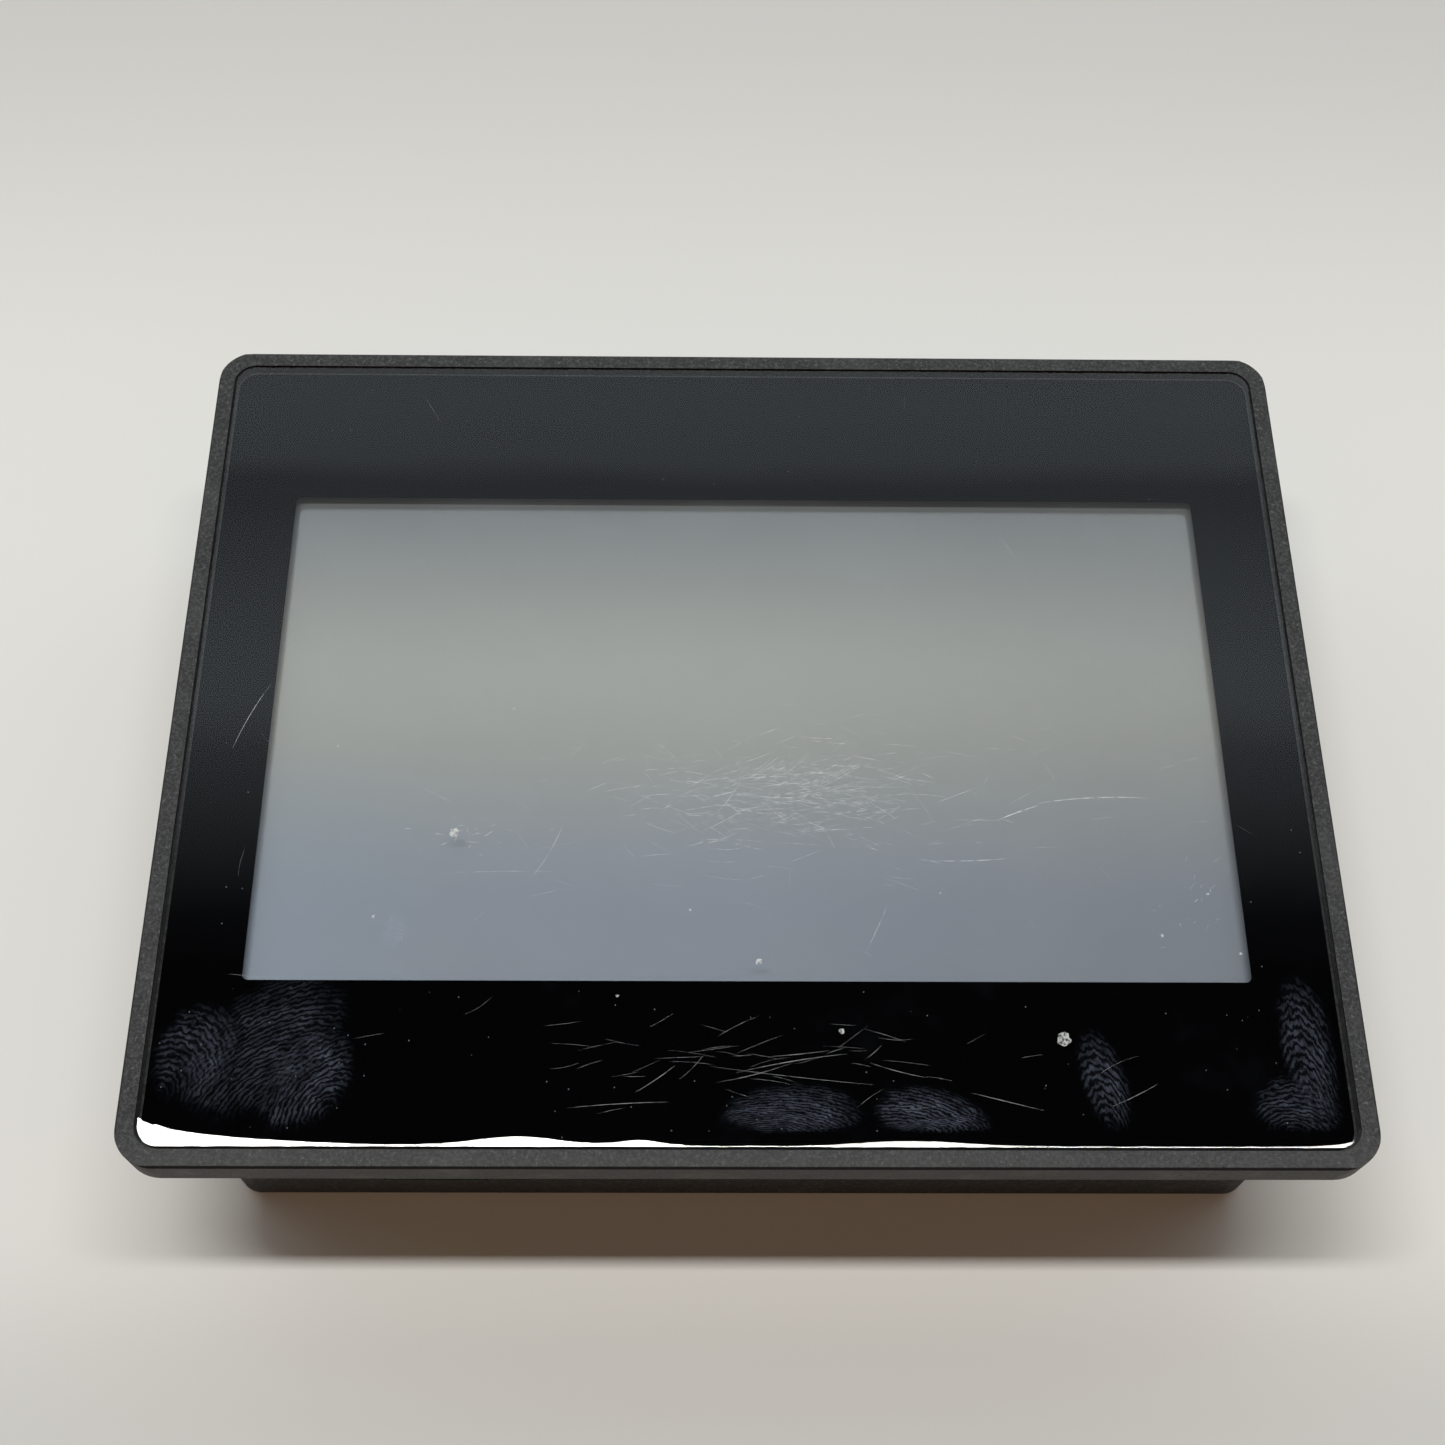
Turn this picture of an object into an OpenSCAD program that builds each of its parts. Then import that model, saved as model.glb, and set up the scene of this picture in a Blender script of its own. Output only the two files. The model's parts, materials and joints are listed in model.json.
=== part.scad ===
// Seven-inch wide operator touch panel for a control cabinet, in millimetres.
// +X runs along the width, +Y up the screen, +Z out of the screen.
// The origin is the middle of the rear face.

/* [Face] */
// Width of the face
face_w = 187; // [150:1:230]
// Height of the face
face_h = 147; // [122:1:180]
// Height of the side wall of the frame round the glass
face_t = 6; // [5:0.1:8]
// Radius of the four outer corners
corner_r = 6.3; // [4:0.1:10]
// Width of the rim between the outside and the glass
rim_w = 2.85; // [2:0.05:4]
// Chamfer along the outer front edge
edge_chamfer = 0.4; // [0.2:0.1:1]

/* [Glass and window] */
// Thickness of the cover glass
glass_t = 1.8; // [1.2:0.1:2.4]
// Gap between the glass and the rim
glass_gap = 0.3; // [0.1:0.05:0.6]
// How far the glass lies below the top of the rim
glass_drop = 0.1; // [0:0.05:0.3]
// Black border left and right of the window, from the outside
side_margin = 15.75; // [12:0.25:22]
// Black border above and below the window, from the outside
end_margin = 29.5; // [24:0.5:38]

/* [Display] */
// Thickness of the display module
lcd_t = 5.6; // [5:0.1:8]
// Display module outline beyond the window, left and right
lcd_side = 4.75; // [3.5:0.25:6]
// Display module outline beyond the window, top and bottom
lcd_end = 8; // [6:0.5:10]

/* [Panel fit] */
// Overhang of the face beyond the panel cut-out
flange_w = 5.5; // [4.5:0.25:7]
// Thickness of the sealing ring behind the face
seal_t = 2; // [1.5:0.1:3]
// Depth behind the front of the panel
rear_depth = 34; // [28:0.5:45]

/* [Rear housing] */
// Clearance between the housing and the cut-out
body_gap = 0.6; // [0.4:0.1:1]
// Wall thickness of the housing
wall_t = 2; // [1.5:0.1:2.5]
// Corner radius of the housing
body_r = 4.5; // [3:0.5:6]
// Depth of the wide section behind the panel
step_depth = 10; // [9:0.5:12]
// How far the deep section is set in, left and right
step_in = 3.4; // [3:0.2:10]

/* [Circuit board] */
// Thickness of the carrier plate
plate_t = 1.2; // [1:0.1:1.6]
// Free height between carrier plate and board
standoff_h = 5; // [4.5:0.1:6]
// Thickness of the board
board_t = 1.6; // [1.2:0.1:2]

/* [Power terminals] */
// Distance from pole to pole
pole_pitch = 5.08; // [5:0.01:5.5]
// Travel of each wire clamp
clamp_travel = 1.8; // [1:0.1:1.8]

/* [Hidden] */
$fn = 48;
eps = 0.01;

// Heights of the stack, from the rear face up
z_seat = rear_depth;
z_face_back = z_seat + seal_t;
z_front = z_face_back + face_t;
z_glass_top = z_front - glass_drop;
z_glass = z_glass_top - glass_t;
film_t = 0.15;
z_film = z_glass - film_t;
tape_t = 0.15;
z_ledge = z_film - tape_t;
sensor_t = 0.9;
z_sensor = z_film - sensor_t;
foam_t = 0.5;
z_foam = z_sensor - foam_t;
z_lcd = z_foam - lcd_t;
z_plate = z_lcd - plate_t;
z_board_top = z_plate - standoff_h;
z_board = z_board_top - board_t;
z_step = z_seat - step_depth;

// Face and glass outlines
recess_w = face_w - 2 * rim_w;
recess_h = face_h - 2 * rim_w;
recess_r = corner_r - rim_w + 0.2;
glass_w = recess_w - 2 * glass_gap;
glass_h = recess_h - 2 * glass_gap;
glass_r = recess_r - glass_gap;
window_w = face_w - 2 * side_margin;
window_h = face_h - 2 * end_margin;
window_r = 1;

// Display module
lcd_w = window_w + 2 * lcd_side;
lcd_h = window_h + 2 * lcd_end;
lcd_fit = 0.5;
shell_t = 0.4;
cell_t = 1.4;
guide_t = 3;
z_cell = z_foam - shell_t - cell_t;
z_guide = z_lcd + shell_t;
inner_w = lcd_w - 2 * shell_t;
inner_h = lcd_h - 2 * shell_t;
led_depth = 1.2;

// Panel cut-out and rear housing
cutout_w = face_w - 2 * flange_w;
cutout_h = face_h - 2 * flange_w;
body_w = cutout_w - 2 * body_gap;
body_h = cutout_h - 2 * body_gap;
deep_w = body_w - 2 * step_in;
cavity_w = body_w - 2 * wall_t;
cavity_h = body_h - 2 * wall_t;
deep_cavity_w = deep_w - 2 * wall_t;
back_chamfer = 1.2;
lip_gap = 0.2;
lip_t = 1.2;
lip_h = 2;

// Sealing ring, held in a shallow groove
seal_inset = 1.4;
seal_groove = 0.8;
seal_w = face_w - 2 * seal_inset;
seal_h = face_h - 2 * seal_inset;
seal_inner_w = cutout_w + 1;
seal_inner_h = cutout_h + 1;
seal_r = corner_r - seal_inset;

// M3 screws: fixed sizes
m3_d = 3;
m3_core = 2.5;
m3_head_d = 5.6;
m3_head_h = 2;
boss_d = 6.5;

// Rear screws run through housing pillars into the frame
rear_screw_inset = 7;
rear_screw_x = deep_w / 2 - rear_screw_inset;
rear_screw_y = body_h / 2 - rear_screw_inset;
rear_boss_z = z_plate - 4;
rear_screw_seat = rear_boss_z - 5;
rear_bore_d = 6.6;

// Carrier plate, its screws and the round holes that save weight
plate_side_gap = 2.15;
plate_end_gap = 2.5;
plate_w = cavity_w - 2 * plate_side_gap;
plate_h = cavity_h - 2 * plate_end_gap;
plate_screw_inset = 30;
plate_screw_out = 6.5;
plate_screw_x = lcd_w / 2 - plate_screw_inset;
plate_screw_y = lcd_h / 2 + plate_screw_out;
relief_d = 29;
relief_pitch = 44.5;

// Board outline and posts
board_side_gap = 16;
board_front_gap = 3;
board_back_gap = 20;
board_w = deep_cavity_w - 2 * board_side_gap;
board_front = -cavity_h / 2 + board_front_gap;
board_back = cavity_h / 2 - board_back_gap;
post_d = 5.5;
post_inset = 5;
post_x = board_w / 2 - post_inset;
post_front = board_front + 26;
post_back = board_back - post_inset;

// Ribbons and their sockets on the front side of the board
ribbon_t = 0.15;
lcd_ribbon_x = -17;
lcd_ribbon_w = 30;
touch_ribbon_x = 13;
touch_ribbon_w = 9;
lcd_ribbon_y = -lcd_h / 2 - 2.6;
touch_ribbon_y = -lcd_h / 2 - 1.6;
socket_h = 2;
socket_y = -lcd_h / 2 + 6;
socket_len = 5;
z_ribbon_in = z_board_top + 1;

// Sockets in the lower side, hung under the board
front_y = -body_h / 2;
socket_inset = 0.4;
window_gap = 0.4;

// Eight-pole network socket
jack_w = 16;
jack_h = 13.4;
jack_len = 21.3;
jack_y = front_y + socket_inset;
jack_shell_t = 0.3;
port_w = 11.8;
port_h = 7.8;
port_len = 14;
z_jack = z_board - jack_h;
z_port = z_jack + 2.6;

// USB type A socket
usb_w = 13.2;
usb_h = 5.8;
usb_len = 14;
usb_shell_t = 0.35;
z_usb = z_board - usb_h;

// Nine-pole serial socket, set back in its window
serial_w = 30.8;
serial_h = 12.5;
serial_z = z_board - serial_h / 2 - 0.3;
serial_shell_w = 16.9;
serial_shell_h = 8.3;
serial_shell_t = 0.5;
serial_front = front_y + socket_inset;
serial_flange_y = serial_front + 5.8;
serial_flange_t = 1;
serial_block_end = serial_flange_y + 8;
serial_screw_pitch = 24.99;
serial_screw_core = 2.3;
jackscrew_thread_d = 2.84;
contact_pitch = 2.77;
contact_row = 2.84;
contact_t = 0.7;

// Power terminal block and its pins
poles = 3;
block_w = poles * pole_pitch + 0.8;
block_h = 14.6;
block_len = 10.2;
block_bottom = z_board - block_h;
block_end = front_y + block_len;
pole_y = front_y + block_len / 2;
pin_t = 1;
pin_y = block_end - 1.2;

// The four sockets stand along the board with equal gaps between them
socket_margin = 8;
sockets_w = block_w + serial_w + jack_w + usb_w;
socket_gap = (board_w - 2 * socket_margin - sockets_w) / 3;
terminal_x = -board_w / 2 + socket_margin + block_w / 2;
serial_x = terminal_x + block_w / 2 + socket_gap + serial_w / 2;
jack_x = serial_x + serial_w / 2 + socket_gap + jack_w / 2;
usb_x = jack_x + jack_w / 2 + socket_gap + usb_w / 2;

// Places of the chips, measured from the edges of the board
processor_x = -10;
memory_x = 18;
flash_x = -38;
chip_row_y = board_front + 60;
inductor_x = [16, 32];
inductor_y = board_front + 32;
capacitor_x = board_w / 2 - 22;
capacitor_y = board_front + 50;
capacitor_pitch = 11;
buzzer_x = -board_w / 2 + 14;
buzzer_y = board_front + 40;

// Wire clamp of one pole, measured from the underside of the block
screw_head_d = 3.6;
screw_head_h = 1.8;
screw_d = 2.5;
screw_seat = block_bottom + 2.5;
shelf_t = 0.9;
cage_w = 3.6;
cage_len = 5;
cage_side_t = 0.5;
cage_near_t = 1;
cage_far_t = 0.8;
run_gap = 0.3;
thread_gap = 0.05;
cage_bottom = screw_seat + shelf_t + run_gap;
screw_tip = cage_bottom + cage_near_t + clamp_travel + 0.2;
bar_t = 0.8;
bar_w = 2;
bar_bottom = screw_tip + run_gap;
bar_top = bar_bottom + bar_t;
cage_top = bar_top + run_gap + cage_far_t;
clamp_room_top = cage_top + clamp_travel + 0.4;
wire_d = 3.2;
driver_hole_d = 4.2;

// Slots in the housing walls that fixing clamps hook into
clamp_slot_len = 10;
clamp_slot_h = 3;
clamp_slot_depth = 3;
clamp_pad_edge = 1.5;
clamp_pad_gap = 0.5;
z_clamp_slot = z_plate - clamp_pad_gap - clamp_pad_edge / 2 - clamp_slot_h;
clamp_slot_x = body_w / 2 - 31.3;
clamp_slot_y = body_h / 2 - 29.2;

// Air slots and the blank rating plate on the back
label_w = 70;
label_h = 34;
label_y = -body_h / 2 + 42;
label_pocket = 0.3;
label_t = 0.2;
vent_w = 2;
vent_pitch = 5;
vent_count = 12;
vent_row_gap = 7;
vent_field_low = label_y + label_h / 2 + 16;
vent_field_high = body_h / 2 - 18;
vent_len = (vent_field_high - vent_field_low - vent_row_gap) / 2;
wall_vent_low = 8;
wall_vent_high = 16;

// Node to show, or all

// ---- Shared shapes ----

// Rectangle with four exact corner arcs
module rounded_rect(w, h, r) {
    square([w - 2 * r, h], center = true);
    square([w, h - 2 * r], center = true);
    for (sx = [-1, 1], sy = [-1, 1])
        translate([sx * (w / 2 - r), sy * (h / 2 - r)])
            circle(r = r);
}

module slab(w, h, r, z0, z1) {
    translate([0, 0, z0])
        linear_extrude(height = z1 - z0)
            rounded_rect(w, h, r);
}

// Flat frame with a rounded outside and a rounded opening
module flat_frame(w, h, r, hole_w, hole_h, hole_r, z0, z1) {
    translate([0, 0, z0])
        linear_extrude(height = z1 - z0)
            difference() {
                rounded_rect(w, h, r);
                rounded_rect(hole_w, hole_h, hole_r);
            }
}

// Box given by its lower corner and its upper corner
module box(low, high) {
    translate(low)
        cube(high - low);
}

// Box centred on x, from y0 to y1 and z0 to z1
module bar(x, w, y0, y1, z0, z1) {
    box([x - w / 2, y0, z0], [x + w / 2, y1, z1]);
}

module post(x, y, d, z0, z1) {
    translate([x, y, z0])
        cylinder(d = d, h = z1 - z0);
}

// Flat outline in Y and Z, drawn out along X about a middle
module side_profile(x, w, points) {
    translate([x - w / 2, 0, 0])
        rotate([90, 0, 90])
            linear_extrude(height = w)
                polygon(points);
}

// Block whose upper or lower edges are cut at 45 degrees all round
module chamfered_slab(w, h, r, z0, z1, top_cut, bottom_cut) {
    intersection() {
        slab(w, h, r, z0, z1);
        side_profile(0, w + 2, edge_cut_outline(h, z0, z1, top_cut, bottom_cut));
        rotate([0, 0, 90])
            side_profile(0, h + 2, edge_cut_outline(w, z0, z1, top_cut, bottom_cut));
    }
}

function edge_cut_outline(span, z0, z1, top_cut, bottom_cut) = [
    [-span / 2 + bottom_cut, z0],
    [span / 2 - bottom_cut, z0],
    [span / 2, z0 + bottom_cut],
    [span / 2, z1 - top_cut],
    [span / 2 - top_cut, z1],
    [-span / 2 + top_cut, z1],
    [-span / 2, z1 - top_cut],
    [-span / 2, z0 + bottom_cut]
];

module at_four(x, y) {
    for (sx = [-1, 1], sy = [-1, 1])
        translate([sx * x, sy * y, 0])
            children();
}

module at_plate_screws() {
    for (x = [-plate_screw_x, 0, plate_screw_x], sy = [-1, 1])
        translate([x, sy * plate_screw_y, 0])
            children();
}

module at_board_posts() {
    for (sx = [-1, 1], y = [post_front, post_back])
        translate([sx * post_x, y, 0])
            children();
}

module at_poles() {
    for (i = [0 : poles - 1])
        translate([pole_x(i), 0, 0])
            children();
}

function pole_x(i) = terminal_x + (i - (poles - 1) / 2) * pole_pitch;

// Pan-head screw pointing up, with a cross recess in its head
module pan_screw(seat_z, length) {
    recess_depth = 1.1;
    recess_t = 0.8;
    recess_len = 3;
    difference() {
        union() {
            post(0, 0, m3_head_d, seat_z - m3_head_h, seat_z);
            post(0, 0, m3_core, seat_z, seat_z + length);
        }
        for (turn = [0, 90])
            translate([0, 0, seat_z - m3_head_h - eps])
                rotate([0, 0, turn])
                    translate([-recess_len / 2, -recess_t / 2, 0])
                        cube([recess_len, recess_t, recess_depth]);
    }
}

// ---- Face ----

module frame_openings() {
    // Glass seat
    slab(recess_w, recess_h, recess_r, z_ledge, z_front + 1);
    // Room for the display module and the touch sensor
    slab(lcd_w + 2 * lcd_fit, lcd_h + 2 * lcd_fit, 1.5, z_face_back - 1, z_ledge + 1);
    // Groove for the sealing ring
    flat_frame(seal_w, seal_h, seal_r, seal_inner_w, seal_inner_h, body_r,
               z_face_back - eps, z_face_back + seal_groove);
    // Notches for the two ribbons
    bar(lcd_ribbon_x, lcd_ribbon_w + 2, lcd_ribbon_y - 1.2, -lcd_h / 2, z_face_back - 1, z_cell + 0.6);
    bar(touch_ribbon_x, touch_ribbon_w + 2, touch_ribbon_y - 1.2, -lcd_h / 2,
        z_face_back - 1, z_sensor + 0.3);
}

module front_bezel() {
    screw_hole_top = z_ledge - 1;
    color("#3f4143")
        difference() {
            union() {
                difference() {
                    chamfered_slab(face_w, face_h, corner_r, z_face_back, z_front, edge_chamfer, 0);
                    frame_openings();
                }
                flat_frame(cavity_w - 2 * lip_gap, cavity_h - 2 * lip_gap, body_r - wall_t,
                           cavity_w - 2 * lip_gap - 2 * lip_t, cavity_h - 2 * lip_gap - 2 * lip_t, 1,
                           z_face_back - lip_h, z_face_back + eps);
                at_plate_screws()
                    post(0, 0, boss_d, z_lcd, z_face_back + eps);
                at_four(rear_screw_x, rear_screw_y)
                    post(0, 0, boss_d, rear_boss_z, z_face_back + eps);
            }
            at_plate_screws()
                post(0, 0, m3_core, z_lcd - 1, screw_hole_top);
            at_four(rear_screw_x, rear_screw_y)
                post(0, 0, m3_core, rear_boss_z - 1, screw_hole_top);
        }
}

module cover_glass() {
    color("#20242a", 0.35)
        chamfered_slab(glass_w, glass_h, glass_r, z_glass, z_glass_top, 0.3, 0);
}

module border_film() {
    color("#08090b")
        flat_frame(glass_w - 0.4, glass_h - 0.4, glass_r, window_w, window_h, window_r,
                   z_film, z_glass);
}

module adhesive_frame() {
    inset = 0.8;
    color("#e6e2d8")
        flat_frame(glass_w - 2 * inset, glass_h - 2 * inset, glass_r - inset,
                   lcd_w + 3, lcd_h + 3, 1.5, z_ledge, z_film);
}

module touch_sensor() {
    color("#c9d4d6", 0.4)
        slab(lcd_w - 1, lcd_h - 1, 0.8, z_sensor, z_film);
}

// Flat ribbon that leaves a layer, turns down and runs into its socket
module folded_ribbon(x, w, start_y, start_z, fold_y) {
    t = ribbon_t;
    side_profile(x, w, [
        [start_y, start_z],
        [fold_y - t, start_z],
        [fold_y - t, z_ribbon_in],
        [socket_y + 1, z_ribbon_in],
        [socket_y + 1, z_ribbon_in + t],
        [fold_y, z_ribbon_in + t],
        [fold_y, start_z - t],
        [start_y, start_z - t]
    ]);
}

module touch_ribbon() {
    color("#a5662b")
        folded_ribbon(touch_ribbon_x, touch_ribbon_w, -lcd_h / 2 + 1.6, z_sensor, touch_ribbon_y);
}

module dust_foam() {
    color("#17181a")
        flat_frame(lcd_w - 4, lcd_h - 4, 1, window_w + 2, window_h + 2, 1, z_foam, z_sensor);
}

// ---- Display ----

module lcd_cell() {
    color("#6c7376")
        box([-inner_w / 2 + 0.4, -inner_h / 2 + 0.4, z_cell],
            [inner_w / 2 - 0.4, inner_h / 2 - 0.4, z_foam - shell_t]);
}

module lcd_shell() {
    view_edge = 1.5;
    color("#b4b8ba")
        difference() {
            box([-lcd_w / 2, -lcd_h / 2, z_lcd], [lcd_w / 2, lcd_h / 2, z_foam]);
            box([-inner_w / 2, -inner_h / 2, z_guide], [inner_w / 2, inner_h / 2, z_foam - shell_t]);
            slab(window_w + 2 * view_edge, window_h + 2 * view_edge, 0.8, z_foam - 1, z_foam + 1);
            // Way out for the display ribbon
            bar(lcd_ribbon_x, lcd_ribbon_w + 1, -lcd_h / 2 - 1, -inner_h / 2 + eps,
                z_cell - 2 * ribbon_t, z_cell + 0.1);
        }
}

module light_guide() {
    color("#eef3f4", 0.8)
        box([-inner_w / 2 + 0.3, -inner_h / 2 + led_depth + 0.4, z_guide],
            [inner_w / 2 - 0.3, inner_h / 2 - 0.3, z_guide + guide_t]);
}

module led_strip() {
    count = 9;
    strip_w = inner_w - 8;
    pitch = strip_w / count;
    chip_w = 5;
    board_skin = 0.5;
    y0 = -inner_h / 2;
    color("#f3eab4")
        union() {
            bar(0, strip_w, y0, y0 + board_skin, z_guide + 0.2, z_guide + 2.4);
            for (i = [0 : count - 1])
                bar((i - (count - 1) / 2) * pitch, chip_w, y0 + board_skin - eps, y0 + led_depth,
                    z_guide + 0.5, z_guide + 2.1);
        }
}

module lcd_ribbon() {
    color("#b0702f")
        folded_ribbon(lcd_ribbon_x, lcd_ribbon_w, -inner_h / 2 + 1.6, z_cell, lcd_ribbon_y);
}

// ---- Seal and carrier ----

module panel_seal() {
    color("#26282a")
        flat_frame(seal_w, seal_h, seal_r, seal_inner_w, seal_inner_h, body_r,
                   z_seat, z_face_back + seal_groove);
}

module carrier_plate() {
    color("#a9adaf")
        difference() {
            slab(plate_w, plate_h, 2, z_plate, z_lcd);
            at_plate_screws()
                post(0, 0, m3_d + 0.4, z_plate - 1, z_lcd + 1);
            at_four(rear_screw_x, rear_screw_y)
                post(0, 0, boss_d + 1, z_plate - 1, z_lcd + 1);
            at_board_posts()
                post(0, 0, m3_core, z_plate - 1, z_lcd + 1);
            // Slots the ribbons drop through
            bar(lcd_ribbon_x, lcd_ribbon_w + 3, lcd_ribbon_y - 1.5, lcd_ribbon_y + 2.5,
                z_plate - 1, z_lcd + 1);
            bar(touch_ribbon_x, touch_ribbon_w + 3, touch_ribbon_y - 2.5, touch_ribbon_y + 1.5,
                z_plate - 1, z_lcd + 1);
            // Round holes that save weight behind the display
            for (x = [-relief_pitch, 0, relief_pitch])
                post(x, 0, relief_d, z_plate - 1, z_lcd + 1);
        }
}

module carrier_screws() {
    color("#c6c8ca")
        at_plate_screws()
            pan_screw(z_plate, 5);
}

module board_posts() {
    color("#c2a25c")
        at_board_posts()
            difference() {
                translate([0, 0, z_board_top])
                    cylinder(d = post_d / cos(30), h = standoff_h, $fn = 6);
                post(0, 0, m3_core, z_board_top - 1, z_plate + 1);
            }
}

// ---- Circuit board ----

module main_board() {
    color("#1d5b3a")
        difference() {
            box([-board_w / 2, board_front, z_board], [board_w / 2, board_back, z_board_top]);
            at_board_posts()
                post(0, 0, m3_d + 0.2, z_board - 1, z_board_top + 1);
            at_poles()
                post(0, pin_y, 1.5 * pin_t, z_board - 1, z_board_top + 1);
            for (c = serial_contact_list)
                post(c[0], contact_leg_y(c[1]), 1.6 * contact_t, z_board - 1, z_board_top + 1);
        }
}

module board_screws() {
    color("#c6c8ca")
        at_board_posts()
            pan_screw(z_board, 5);
}

module ribbon_sockets() {
    wall = 3;
    lip = 0.6;
    slot_t = ribbon_t;
    color("#e9e4d3")
        for (s = [[lcd_ribbon_x, lcd_ribbon_w], [touch_ribbon_x, touch_ribbon_w]])
            difference() {
                bar(s[0], s[1] + wall, socket_y - lip, socket_y + socket_len,
                    z_board_top, z_board_top + socket_h);
                bar(s[0], s[1], socket_y - 1, socket_y + 1, z_ribbon_in, z_ribbon_in + slot_t);
            }
}

// Box on the underside of the board, given by its middle, size and height
module chip(x, y, w, len, h) {
    bar(x, w, y - len / 2, y + len / 2, z_board - h, z_board);
}

module processor() {
    size = 19;
    base_t = 0.9;
    cap_t = 1.7;
    cap_edge = 1.5;
    color("#1b1c1e")
        union() {
            chip(processor_x, chip_row_y, size, size, base_t);
            chip(processor_x, chip_row_y, size - 2 * cap_edge, size - 2 * cap_edge, cap_t);
        }
}

module memory_chips() {
    chip_t = 1.2;
    row_offset = 9;
    color("#202124")
        union() {
            for (side = [-1, 1])
                chip(memory_x, chip_row_y + side * row_offset, 9, 12, chip_t);
            chip(flash_x, chip_row_y, 12, 18, chip_t);
        }
}

module power_inductors() {
    size = 10;
    h = 4.5;
    dimple_d = 7;
    dimple_depth = 0.5;
    color("#2c2d30")
        for (x = inductor_x)
            difference() {
                chip(x, inductor_y, size, size, h);
                translate([x, inductor_y, z_board - h - eps])
                    cylinder(d = dimple_d, h = dimple_depth);
            }
}

module filter_capacitors() {
    count = 3;
    d = 8;
    h = 9.5;
    base = 8.4;
    base_t = 1;
    crimp_z = z_board - 3;
    crimp_h = 0.6;
    crimp_depth = 0.4;
    color("#9fa5ab")
        for (i = [0 : count - 1])
            translate([capacitor_x, capacitor_y + i * capacitor_pitch, 0])
                difference() {
                    union() {
                        chip(0, 0, base, base, base_t);
                        post(0, 0, d, z_board - h, z_board - base_t + eps);
                    }
                    translate([0, 0, crimp_z])
                        difference() {
                            cylinder(d = d + 1, h = crimp_h);
                            cylinder(d = d - 2 * crimp_depth, h = crimp_h);
                        }
                }
}

module buzzer() {
    d = 12;
    h = 8.5;
    sound_hole_d = 2.4;
    color("#141416")
        difference() {
            post(buzzer_x, buzzer_y, d, z_board - h, z_board);
            post(buzzer_x, buzzer_y, sound_hole_d, z_board - h - 1, z_board - h + 2);
        }
}

// ---- Network socket ----

module ethernet_shell() {
    y1 = jack_y + jack_len;
    t = jack_shell_t;
    color("#bfc3c6")
        difference() {
            bar(jack_x, jack_w, jack_y, y1, z_jack, z_board);
            bar(jack_x, jack_w - 2 * t, jack_y - 1, y1 - t, z_jack + t, z_board - t);
        }
}

module ethernet_insert() {
    t = jack_shell_t;
    latch_w = 6.2;
    tab_w = 3.4;
    port_end = jack_y + port_len;
    color("#1a1b1d")
        difference() {
            bar(jack_x, jack_w - 2 * t, jack_y + 0.2, jack_y + jack_len - t, z_jack + t, z_board - t);
            bar(jack_x, port_w, jack_y - 1, port_end, z_port, z_port + port_h);
            bar(jack_x, latch_w, jack_y - 1, port_end, z_port - 0.9, z_port + 1);
            bar(jack_x, tab_w, jack_y - 1, port_end, z_port - 1.8, z_port);
        }
}

// Eight sprung wires slanting into the socket from its roof
module ethernet_contacts() {
    count = 8;
    pitch = 1.02;
    wire_w = 0.4;
    wire_t = 0.35;
    y_front = jack_y + 3;
    y_end = jack_y + port_len;
    z_roof = z_port + port_h;
    drop = 2.4;
    color("#d8b14e")
        for (i = [0 : count - 1])
            side_profile(jack_x + (i - (count - 1) / 2) * pitch, wire_w, [
                [y_front, z_roof],
                [y_end, z_roof - drop],
                [y_end, z_roof - drop + wire_t],
                [y_front + 2, z_roof]
            ]);
}

// ---- USB socket ----

module usb_shell() {
    t = usb_shell_t;
    color("#c5c8ca")
        difference() {
            bar(usb_x, usb_w, front_y + socket_inset, front_y + socket_inset + usb_len, z_usb, z_board);
            bar(usb_x, usb_w - 2 * t, front_y, front_y + socket_inset + usb_len - t, z_usb + t, z_board - t);
        }
}

module usb_insert() {
    t = usb_shell_t;
    y0 = front_y + socket_inset;
    y1 = y0 + usb_len - t;
    back_len = 3.5;
    tongue_w = 11.1;
    tongue_t = 1.9;
    z_tongue = z_board - t - 0.5;
    color("#e8e6df")
        union() {
            bar(usb_x, usb_w - 2 * t, y1 - back_len, y1, z_usb + t, z_board - t);
            bar(usb_x, tongue_w, y0 + 1, y1 - back_len + eps, z_tongue - tongue_t, z_tongue);
        }
}

// ---- Serial socket ----

// Row, place in the row and height of each of the nine contacts
serial_contact_list = [
    for (row = [0, 1], i = [0 : 4 - row])
        [serial_x + (i - (4 - row) / 2) * contact_pitch, row]
];

function contact_z(row) = serial_z + (0.5 - row) * contact_row;
function contact_leg_y(row) = serial_block_end + 1.2 + row * contact_row;

// D-shaped outline, wide side towards the board
module d_outline(w, h, y0, y1) {
    slant = h * tan(10);
    translate([serial_x, y1, serial_z])
        rotate([90, 0, 0])
            linear_extrude(height = y1 - y0)
                polygon([
                    [-w / 2, h / 2],
                    [-w / 2 + slant, -h / 2],
                    [w / 2 - slant, -h / 2],
                    [w / 2, h / 2]
                ]);
}

module serial_shell() {
    inner_w = serial_shell_w - 2.2 * serial_shell_t;
    inner_h = serial_shell_h - 2 * serial_shell_t;
    color("#c2c5c8")
        difference() {
            union() {
                d_outline(serial_shell_w, serial_shell_h, serial_front, serial_flange_y + eps);
                bar(serial_x, serial_w, serial_flange_y, serial_flange_y + serial_flange_t,
                    serial_z - serial_h / 2, serial_z + serial_h / 2);
            }
            d_outline(inner_w, inner_h, serial_front - 1, serial_flange_y + serial_flange_t + 1);
            for (s = [-1, 1])
                translate([serial_x + s * serial_screw_pitch / 2, serial_flange_y - 1, serial_z])
                    rotate([-90, 0, 0])
                        cylinder(d = m3_d, h = serial_flange_t + 2);
        }
}

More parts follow.
